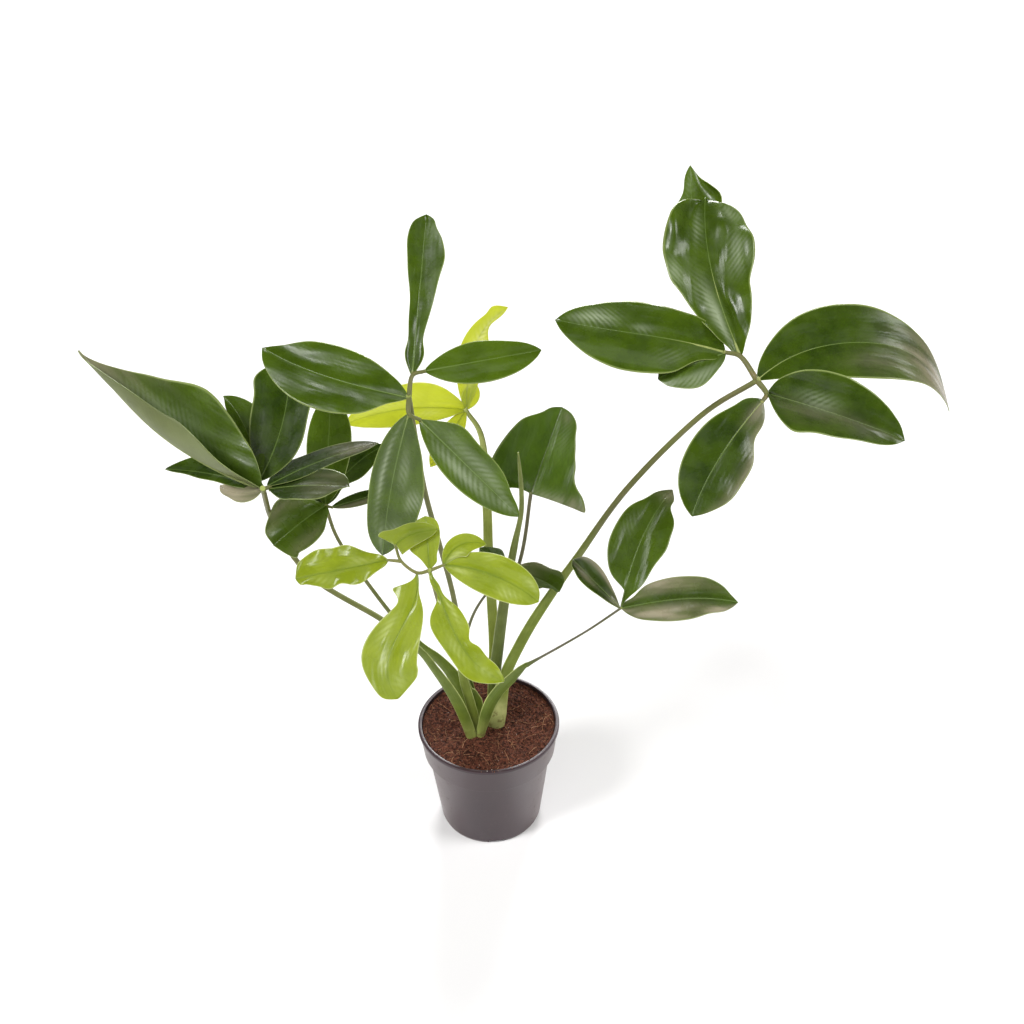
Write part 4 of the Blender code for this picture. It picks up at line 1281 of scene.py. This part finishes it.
# %% Smooth paths and tubes
SOIL_LEVEL = 139.0
FOOT_DEPTH = 12.0
FOOT_UPRIGHT = 4.0
RINGS_PER_SPAN = 8
STALK_SIDES = 24
ARM_SIDES = 12
ARM_SPAN_RINGS = 6
ARM_TINT_START = 0.6
RIB_SIDES = 8
RIB_ROWS = 26
RIB_END = 0.96
RIB_MIN = 0.22
SHEATH_PINCH = 0.45
SHEATH_HOLLOW = 0.75


def smooth_path(points, per_span):
    """Points on a smooth curve through the given ones."""
    points = [np.array(p, float) for p in points]
    ends = [2.0 * points[0] - points[1], *points, 2.0 * points[-1] - points[-2]]
    path = []
    for i in range(1, len(ends) - 2):
        a, b, c, d = ends[i - 1:i + 3]
        for step in range(per_span):
            t = step / per_span
            path.append(0.5 * (
                2.0 * b + (c - a) * t
                + (2.0 * a - 5.0 * b + 4.0 * c - d) * t ** 2
                + (3.0 * b - a - 3.0 * c + d) * t ** 3
            ))
    path.append(points[-1])
    return path


def past_end(path, reach):
    """A path that runs straight on for a little beyond its last point."""
    return [*path, path[-1] + unit(path[-1] - path[-2]) * reach]


def add_tube(shape, layers, path, sizes, side, sides, finish=0, flat=None, start=0.0):
    """A closed tube; sizes gives the half width and half thickness of each ring."""
    leaf_map, ruler_map, wing_layer = layers
    side = np.array(side, float)
    steps = [np.linalg.norm(b - a) for a, b in zip(path, path[1:])]
    travelled = np.concatenate([[0.0], np.cumsum(steps)])
    rings = []
    for i, point in enumerate(path):
        ahead = unit(path[min(i + 1, len(path) - 1)] - path[max(i - 1, 0)])
        side = unit(side - ahead * side.dot(ahead))
        other = np.cross(ahead, side)
        wide, thick = sizes[i]
        wing = flat[i] if flat is not None else 0.0
        ring = []
        for k in range(sides):
            angle = 2.0 * math.pi * k / sides
            out, up = math.cos(angle), math.sin(angle)
            pinch = 1.0 - SHEATH_PINCH * wing * out * out
            hollow = SHEATH_HOLLOW * wing * (1.0 - out * out) if up > 0.0 else 0.0
            height = thick * up * pinch * (1.0 - hollow)
            spot = point + side * (wide * out) + other * height
            vert = shape.verts.new(Vector(spot) * MM)
            vert[wing_layer] = wing
            ring.append(vert)
        rings.append(ring)
    for i, (low, high) in enumerate(zip(rings, rings[1:])):
        for k in range(sides):
            n = (k + 1) % sides
            made = shape.faces.new((low[k], low[n], high[n], high[k]))
            made.smooth = True
            made.material_index = finish
            spots = ((k, i), (k + 1, i), (k + 1, i + 1), (k, i + 1))
            for loop, (around, up) in zip(made.loops, spots):
                share = start + (1.0 - start) * travelled[up] / travelled[-1]
                loop[leaf_map].uv = (around / sides, share)
                loop[ruler_map].uv = (around / sides * 0.02, travelled[up] * MM)
    for ring in (list(reversed(rings[0])), rings[-1]):
        made = shape.faces.new(ring)
        made.material_index = finish


def stalk_course(frond):
    """A stalk's path, its ring sizes, and how sheath-like it is at each ring."""
    x, y = frond.foot
    feet = [(x, y, SOIL_LEVEL + rise) for rise in (-FOOT_DEPTH, -FOOT_UPRIGHT, FOOT_UPRIGHT)]
    points = [*feet, *frond.via, frond.hub]
    path = past_end(smooth_path(points, RINGS_PER_SPAN), frond.top)
    spans = len(points) - 1
    sizes, flat = [], []
    for i, point in enumerate(path):
        s = min(i / RINGS_PER_SPAN, spans + 0.5)
        if frond.swell:
            heights, *columns = zip(*frond.swell)
            half, thin = (np.interp(point[2], heights, column) for column in columns)
            sizes.append((half, thin))
            flat.append(min(1.0, 2.2 * (half / thin - 1.0)) * min(1.0, max(0.0, s - 1.0)))
        else:
            keep = (1.0 - max(0.0, s - 2.0) / (spans - 1.5)) ** frond.taper
            sizes.append([frond.top + (size - frond.top) * keep for size in frond.sheath])
            flat.append(min(1.0, 1.6 * keep) * min(1.0, max(0.0, s - 1.5)))
    return path, sizes, flat


def make_stalk(frond):
    """A leaf's stalk, its short branches and the ribs of its leaflets, as one piece."""
    shape = bmesh.new()
    layers = map_layers(shape, "wing")
    path, sizes, flat = stalk_course(frond)
    turn = math.radians(frond.turn + 90)
    side = (math.cos(turn), math.sin(turn), 0.0)
    add_tube(shape, layers, path, sizes, side, STALK_SIDES, flat=flat)
    hub = np.array(frond.hub, float)
    for arm in frond.arms:
        points = [hub + np.array(point, float) for point in arm]
        path = past_end(smooth_path(points, ARM_SPAN_RINGS), 0.7 * frond.top)
        last = len(path) - 1
        sizes = [(frond.top * (0.95 - 0.3 * i / last),) * 2 for i in range(len(path))]
        add_tube(shape, layers, path, sizes, frond.facing, ARM_SIDES, start=ARM_TINT_START)
    for blade in frond.blades:
        add_rib(shape, layers, frond, blade)
    finishes = stalk_finishes[frond.stem or frond.slot]
    return new_piece(shape, frond.name + "_stalk", finishes)


def add_rib(shape, layers, frond, blade):
    """The midrib that stands out under a leaflet, thick at its root."""
    u = np.linspace(0.0, RIB_END, RIB_ROWS)
    place, ahead = midrib(frond, blade, u)
    right, face = turned(frond, blade, ahead, u)
    thick = min(0.48 * frond.top, 0.022 * blade.width + 0.35)
    radius = thick * (1.0 - u) ** 0.9 + RIB_MIN
    path = list(place - face * (radius * 0.75)[:, None])
    add_tube(shape, layers, path, [(r, r) for r in radius], right[0], RIB_SIDES, finish=1)


for frond in FRONDS:
    stalk = make_stalk(frond)
    leaf_pieces.setdefault(frond.name, []).append(stalk)
    for piece in leaf_pieces[frond.name]:
        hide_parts(frond.name)
print("stalks:", len(FRONDS))

# %% [markdown]
# ## Soil
#
# The pot is filled with coir: crumbly brown fibre, with pale strands on top of it. The
# plug keeps the solid's shape inside the pot, and its top is a fine round grid, pushed
# up and down by broad waves and by noise of three sizes: lumps, crumbs and grit. The
# loose strands and chips lie on it as small shapes of their own, because they catch the
# light and cast shadows that bump can't give.

# %% Pot sizes and soil relief
RIM_RADIUS = 0.085
POT_HEIGHT = 0.145
BASE_RADIUS = 0.062
WALL = 0.0014
COLLAR_HEIGHT = 0.037
COLLAR_STEP = 0.003
COLLAR_SWELL = 0.002
LIP_WIDTH = 0.003
LIP_HEIGHT = 0.004
FOOT_HEIGHT = 0.004
FOOT_WIDTH = 0.010
PAD_RADIUS = 0.020
GAP = 0.0003
SOIL_TOP = 0.139
SOIL_BANK = 0.0025
SOIL_RELIEF = 0.0014
# Lumps, crumbs and grit: how fine the noise is, how high, and its place in the noise
SOIL_NOISE = ((160.0, 0.0012, 0.0), (420.0, 0.0011, 0.3), (900.0, 0.0008, 0.7))


def wall_radius(height):
    """Outer radius of the tapered wall at a height."""
    top = RIM_RADIUS - LIP_WIDTH - COLLAR_STEP
    return BASE_RADIUS + (top - BASE_RADIUS) * height / POT_HEIGHT


def collar_radius(height):
    """Outer radius of the collar, which steps out from the wall."""
    return wall_radius(height) + COLLAR_STEP


SOIL_RIM = collar_radius(SOIL_TOP) - WALL - GAP


def soil_height(x, y):
    """Height of the coir at a point: waves and crumbs, banked up at the wall."""
    bank = (math.hypot(x, y) / SOIL_RIM) ** 6
    fade = max(0.0, 1.0 - bank)
    broad = math.sin(95.0 * x + 1.0) * math.sin(110.0 * y)
    broad += 0.6 * math.sin(210.0 * x - 160.0 * y)
    level = SOIL_TOP + SOIL_BANK * bank + fade * SOIL_RELIEF * broad
    for fine, high, layer in SOIL_NOISE:
        level += high * noise.noise(Vector((x, y, layer)) * fine)
    return level


print("soil rim radius:", round(SOIL_RIM * 1000, 1), "mm")

# %% Soil material
def coir_finish(name, dark, brown, pale):
    """Dull crumbly fibre: two browns in clouds, with pale specks."""
    finish, tree, end = new_material(name)
    cloud = use_group(tree, mottle_group, Scale=330.0, Low=0.35, High=0.65)["Mask"]
    speck = use_group(tree, mottle_group, Scale=700.0, Low=0.56, High=0.70)["Mask"]
    colour = tinted(tree, mix_colour(tree, cloud, dark, brown), pale, speck, 0.60)
    height = use_group(tree, grain_group, Scale=1500.0, Detail=3.0)["Height"]
    shader = add_node(tree, "ShaderNodeBsdfPrincipled", sockets={
        "Base Color": colour, "Roughness": maths(tree, "MULTIPLY_ADD", cloud, 0.15, 0.8),
        "Specular IOR Level": 0.15, "Normal": bumped(tree, height, 0.9, 0.0008),
    })
    tree.links.new(shader.outputs[0], end)
    return finish


coir = coir_finish("coir", (0.026, 0.008, 0.005), (0.130, 0.043, 0.025), (0.38, 0.18, 0.10))
strand = coir_finish(
    "coir_strand", (0.26, 0.11, 0.055), (0.46, 0.25, 0.14), (0.62, 0.43, 0.27),
)
chip = coir_finish(
    "coir_chip", (0.014, 0.005, 0.003), (0.055, 0.018, 0.010), (0.14, 0.055, 0.030),
)
grain = coir_finish(
    "pale_grain", (0.38, 0.33, 0.28), (0.58, 0.53, 0.47), (0.70, 0.66, 0.60),
)
print("soil materials: 4")

# %% Soil plug
SOIL_RINGS = 96
SOIL_STEPS = 288


def make_soil():
    """The plug of coir: its rough top, its sides along the pot's wall, and its flat base."""
    shape = bmesh.new()
    middle = shape.verts.new((0.0, 0.0, soil_height(0.0, 0.0)))
    collar = POT_HEIGHT - COLLAR_HEIGHT
    floor_level = FOOT_HEIGHT + WALL + GAP
    below = [
        (collar_radius(collar) - WALL - GAP, collar + COLLAR_STEP),
        (wall_radius(collar) - WALL - GAP, collar),
        (wall_radius(floor_level) - WALL - GAP, floor_level),
    ]
    turns = [2.0 * math.pi * k / SOIL_STEPS for k in range(SOIL_STEPS)]
    radii = [(SOIL_RIM * i / SOIL_RINGS, None) for i in range(1, SOIL_RINGS + 1)]
    rings = []
    for radius, height in [*radii, *below]:
        spots = [(radius * math.cos(turn), radius * math.sin(turn)) for turn in turns]
        rings.append([
            shape.verts.new((x, y, soil_height(x, y) if height is None else height))
            for x, y in spots
        ])
    for k in range(SOIL_STEPS):
        n = (k + 1) % SOIL_STEPS
        shape.faces.new((middle, rings[0][k], rings[0][n]))
        for low, high in zip(rings, rings[1:]):
            shape.faces.new((low[k], high[k], high[n], low[n]))
    shape.faces.new(list(reversed(rings[-1])))
    for face in shape.faces:
        face.smooth = True
    piece = new_piece(shape, "coir_soil", [coir])
    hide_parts("soil")
    return piece


soil = make_soil()
print("soil faces:", len(soil.data.polygons))

# %% Strands and chips on the soil
STRAND_STEPS = 7
# How many strands, how long they are, and how thick: a few long ones, then fine ones,
# then short bits of every brown
LONG_STRANDS = (40, (0.012, 0.030), (0.00022, 0.00038))
FINE_STRANDS = (100, (0.005, 0.014), (0.00014, 0.00026))
SHORT_BITS = (380, (0.003, 0.009), (0.00015, 0.00035))
# How many chips, grains and crumbs, and how big they are
CHIPS = (1500, (0.0009, 0.0024))
PALE_GRAINS = (26, (0.0008, 0.0016))
SPILT_CRUMBS = (16, (0.0008, 0.0018))
SPILT_TURN = (-82.0, 14.0)


def add_strand(shape, draw, length, radius, finish):
    """One bent strand that lies on the coir."""
    while True:
        x, y = draw.uniform(-SOIL_RIM, SOIL_RIM), draw.uniform(-SOIL_RIM, SOIL_RIM)
        if math.hypot(x, y) < SOIL_RIM - 0.003:
            break
    turn = draw.uniform(0.0, 2.0 * math.pi)
    bend = draw.uniform(-1.0, 1.0)
    rings = []
    for i in range(STRAND_STEPS):
        turn += bend / STRAND_STEPS + draw.uniform(-0.15, 0.15)
        x += math.cos(turn) * length / STRAND_STEPS
        y += math.sin(turn) * length / STRAND_STEPS
        if math.hypot(x, y) > SOIL_RIM - 0.001:
            break
        arch = math.sin(math.pi * i / (STRAND_STEPS - 1)) * draw.uniform(0.2, 1.0)
        centre = Vector((x, y, soil_height(x, y) + radius * (1.2 + 2.5 * arch)))
        thin = radius * (0.45 if i in (0, STRAND_STEPS - 1) else 1.0)
        side = Vector((-math.sin(turn), math.cos(turn), 0.0)) * thin
        over = Vector((0, 0, thin))
        corners = (centre + side, centre + over, centre - side, centre - over)
        rings.append([shape.verts.new(corner) for corner in corners])
    if len(rings) < 3:
        bmesh.ops.delete(shape, geom=[vert for ring in rings for vert in ring], context="VERTS")
        return
    for low, high in zip(rings, rings[1:]):
        for k in range(4):
            n = (k + 1) % 4
            made = shape.faces.new((low[k], high[k], high[n], low[n]))
            made.smooth = True
            made.material_index = finish
    for cap in (rings[0], list(reversed(rings[-1]))):
        shape.faces.new(cap).material_index = finish


def add_chip(shape, draw, size, finish, spot=None):
    """One small broken bit of coir husk, drawn somewhere on the soil or at a given spot."""
    turn = draw.uniform(0.0, 2.0 * math.pi)
    away = SOIL_RIM * math.sqrt(draw.uniform(0.0, 0.94))
    x, y = away * math.cos(turn), away * math.sin(turn)
    place = spot if spot is not None else Vector((x, y, soil_height(x, y) + 0.2 * size))
    axis = Vector([draw.gauss(0, 1) for _ in "xyz"]).normalized()
    lean = Quaternion(axis, draw.uniform(0, 3.1))
    widths = ((0.6, 1.2), (0.4, 0.9), (0.25, 0.6))
    scale = Vector([draw.uniform(*width) for width in widths]) * size * 0.5
    made = bmesh.ops.create_icosphere(shape, subdivisions=1, radius=1.0)["verts"]
    for vert in made:
        corner = Vector(c * s for c, s in zip(vert.co, scale)) * draw.uniform(0.75, 1.2)
        vert.co = lean @ corner + place
    for face in {face for vert in made for face in vert.link_faces}:
        face.material_index = finish


def make_litter():
    """All loose bits; a bit's number picks its material: strand, coir, chip or grain."""
    draw = random.Random(17)
    shape = bmesh.new()
    for count, lengths, radii in (LONG_STRANDS, FINE_STRANDS):
        for _ in range(count):
            add_strand(shape, draw, draw.uniform(*lengths), draw.uniform(*radii), 0)
    count, lengths, radii = SHORT_BITS
    for _ in range(count):
        length, radius = draw.uniform(*lengths), draw.uniform(*radii)
        add_strand(shape, draw, length, radius, draw.choice((1, 1, 2)))
    count, widths = CHIPS
    for _ in range(count):
        add_chip(shape, draw, draw.uniform(*widths), draw.choice((1, 1, 2, 2)))
    count, widths = PALE_GRAINS
    for _ in range(count):
        add_chip(shape, draw, draw.uniform(*widths), 3)
    # A few crumbs were spilt on the front of the rim when the pot was filled
    count, widths = SPILT_CRUMBS
    for _ in range(count):
        turn = math.radians(draw.gauss(*SPILT_TURN))
        away = RIM_RADIUS - draw.uniform(0.0006, 0.0052)
        spot = Vector((away * math.cos(turn), away * math.sin(turn), POT_HEIGHT + 0.0002))
        add_chip(shape, draw, draw.uniform(*widths), draw.choice((0, 0, 1, 3)), spot)
    return new_piece(shape, "coir_litter", (strand, coir, chip, grain))


litter = make_litter()
print("litter faces:", len(litter.data.polygons))

# %% [markdown]
# ## Pot
#
# A nursery pot is blown or moulded in one piece of dark plastic: a lip, a collar that
# steps out below it, a plain tapered wall, and a foot ring with notches so that water
# can leave. Its section is drawn once, with its corners rounded, and a Screw modifier
# turns it. One Boolean modifier then cuts out the notches and the drain holes, as a saw
# and a drill would.

# %% Pot section
POT_STEPS = 144
NOTCHES = 4
NOTCH_WIDTH = 0.019
NOTCH_HEIGHT = 0.0044
NOTCH_TURN = math.radians(-85)
DRAIN_RADIUS = 0.005
DRILL_DEPTH = 0.03
SHARP_FROM = math.radians(32)


def pot_section():
    """Down the outer side and back up the inner side, as (radius, height, rounding)."""
    collar = POT_HEIGHT - COLLAR_HEIGHT
    lip = POT_HEIGHT - LIP_HEIGHT
    floor_level = FOOT_HEIGHT + WALL
    channel_out = BASE_RADIUS - FOOT_WIDTH
    return [
        (collar_radius(POT_HEIGHT) + LIP_WIDTH, POT_HEIGHT, 0.0010),
        (collar_radius(POT_HEIGHT) + LIP_WIDTH, lip, 0.0006),
        (collar_radius(lip) + COLLAR_SWELL, lip, 0.0004),
        (collar_radius(collar) + COLLAR_SWELL, collar, 0.0008),
        (wall_radius(collar), collar - COLLAR_STEP * 0.6, 0.0012),
        (wall_radius(FOOT_HEIGHT), FOOT_HEIGHT, 0.0010),
        (BASE_RADIUS - 0.001, 0.0, 0.0008),
        (channel_out, 0.0, 0.0005),
        (channel_out - 0.001, FOOT_HEIGHT, 0.0005),
        (PAD_RADIUS + 0.003, FOOT_HEIGHT, 0.0005),
        (PAD_RADIUS, 0.0, 0.0005),
        (0.0, 0.0, 0.0),
        (0.0, floor_level, 0.0),
        (wall_radius(floor_level) - WALL, floor_level, 0.0010),
        (wall_radius(collar) - WALL, collar, 0.0008),
        (collar_radius(collar) - WALL, collar + COLLAR_STEP * 0.6, 0.0008),
        (collar_radius(POT_HEIGHT) - WALL, POT_HEIGHT, 0.0004),
    ]


def rounded(section):
    """Replace each corner by three points of a small arc."""
    count = len(section)
    points = []
    for i, (radius, height, size) in enumerate(section):
        here = Vector((radius, height))
        if size == 0.0:
            points.append(here)
            continue
        before = Vector(section[i - 1][:2])
        after = Vector(section[(i + 1) % count][:2])
        start = here + (before - here).normalized() * min(size, 0.45 * (before - here).length)
        end = here + (after - here).normalized() * min(size, 0.45 * (after - here).length)
        points += [start, 0.25 * start + 0.5 * here + 0.25 * end, end]
    return points


section = rounded(pot_section())
print("points in the pot's section:", len(section))

# %% Turn the pot and cut its notches
def applied(item):
    """Replace an object's mesh by the result of its modifiers."""
    graph = bpy.context.evaluated_depsgraph_get()
    mesh = bpy.data.meshes.new_from_object(item.evaluated_get(graph))
    item.modifiers.clear()
    item.data = mesh
    return item


def cutter(name, mesh_maker, place, turn, scale, group):
    """Add one block or drill to the group of things that cut the pot."""
    shape = bmesh.new()
    mesh_maker(shape)
    mesh = as_mesh(shape, name)
    mesh.transform(Matrix.LocRotScale(place, Quaternion((0, 0, 1), turn), scale))
    item = bpy.data.objects.new(name, mesh)
    group.objects.link(item)


def make_pot():
    """Turn the section, cut the notches and the holes, and keep the sharp corners sharp."""
    mesh = bpy.data.meshes.new("nursery_pot")
    points = [(p.x, 0.0, p.y) for p in section] + [(section[0].x, 0.0, section[0].y)]
    mesh.from_pydata(points, [(i, i + 1) for i in range(len(points) - 1)], [])
    pot = bpy.data.objects.new("nursery_pot", mesh)
    bpy.context.scene.collection.objects.link(pot)
    screw = pot.modifiers.new("turn", "SCREW")
    screw.steps = screw.render_steps = POT_STEPS
    screw.use_merge_vertices = True
    screw.merge_threshold = 0.00001
    screw.use_normal_calculate = True
    applied(pot)
    group = bpy.data.collections.new("pot_cutters")
    bpy.context.scene.collection.children.link(group)
    for i in range(NOTCHES):
        turn = NOTCH_TURN + i * 2.0 * math.pi / NOTCHES
        out = Vector((math.cos(turn), math.sin(turn), 0.0))
        cutter(
            f"notch_{i}", lambda shape: bmesh.ops.create_cube(shape, size=1.0),
            out * (BASE_RADIUS - 0.5 * FOOT_WIDTH), turn,
            Vector((2.0 * FOOT_WIDTH, NOTCH_WIDTH, 2.0 * NOTCH_HEIGHT)), group,
        )
        cutter(
            f"drain_{i}",
            lambda shape: bmesh.ops.create_cone(
                shape, cap_ends=True, segments=32, depth=DRILL_DEPTH,
                radius1=DRAIN_RADIUS, radius2=DRAIN_RADIUS,
            ),
            out * (BASE_RADIUS - FOOT_WIDTH - 2.0 * DRAIN_RADIUS), turn,
            Vector((1, 1, 1)), group,
        )
    cut = pot.modifiers.new("cut", "BOOLEAN")
    cut.operation = "DIFFERENCE"
    cut.operand_type = "COLLECTION"
    cut.collection = group
    cut.solver = "EXACT"
    applied(pot)
    for item in list(group.objects):
        bpy.data.objects.remove(item, do_unlink=True)
    bpy.data.collections.remove(group)
    pot.data.shade_smooth()
    pot.data.set_sharp_from_angle(angle=SHARP_FROM)
    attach(pot, "root")
    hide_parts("pot")
    return pot


pot = make_pot()
print("pot faces:", len(pot.data.polygons))

# %% Pot material
def pot_finish():
    """Satin plastic, darker and rubbed in clouds, with a painted sheen where it is seen edge-on.
    """
    finish, tree, end = new_material("pot_plastic")
    cloud = use_group(tree, mottle_group, Scale=16.0, Low=0.3, High=0.7)["Mask"]
    scuff = use_group(tree, mottle_group, Scale=140.0, Low=0.58, High=0.75)["Mask"]
    colour = mix_colour(tree, cloud, (0.032, 0.016, 0.022), (0.048, 0.027, 0.033))
    # Painted sheen: where the plastic is seen edge-on it is painted paler, for the white room's
    # reflection along the pot's sides
    facing = add_node(tree, "ShaderNodeLayerWeight", sockets={"Blend": 0.3}).outputs["Facing"]
    edge = spread(tree, facing, 0.30, 0.80, 0.0, 0.55)
    colour = mix_colour(tree, edge, colour, (0.19, 0.145, 0.14))
    colour = tinted(tree, colour, (0.20, 0.17, 0.16), scuff, 0.18)
    height = use_group(tree, grain_group, Scale=1100.0)["Height"]
    rough = maths(tree, "MULTIPLY_ADD", cloud, 0.08, 0.32)
    shader = add_node(tree, "ShaderNodeBsdfPrincipled", sockets={
        "Base Color": colour, "Roughness": maths(tree, "MULTIPLY_ADD", scuff, 0.15, rough),
        "Specular IOR Level": 0.5, "Normal": bumped(tree, height, 0.15, 0.0003),
    })
    tree.links.new(shader.outputs[0], end)
    return finish


pot.data.materials.clear()
pot.data.materials.append(pot_finish())
print("pot material:", pot.data.materials[0].name)

# %% [markdown]
# ## Finish
#
# The dressed plant must keep the solids' size, so both boxes are written down side by
# side.

# %% Sizes
scene_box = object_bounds()
for label, box in (("solids", cad_box), ("dressed", scene_box)):
    print(label, "mm:", [round((b - a) * 1000, 1) for a, b in zip(*box)])
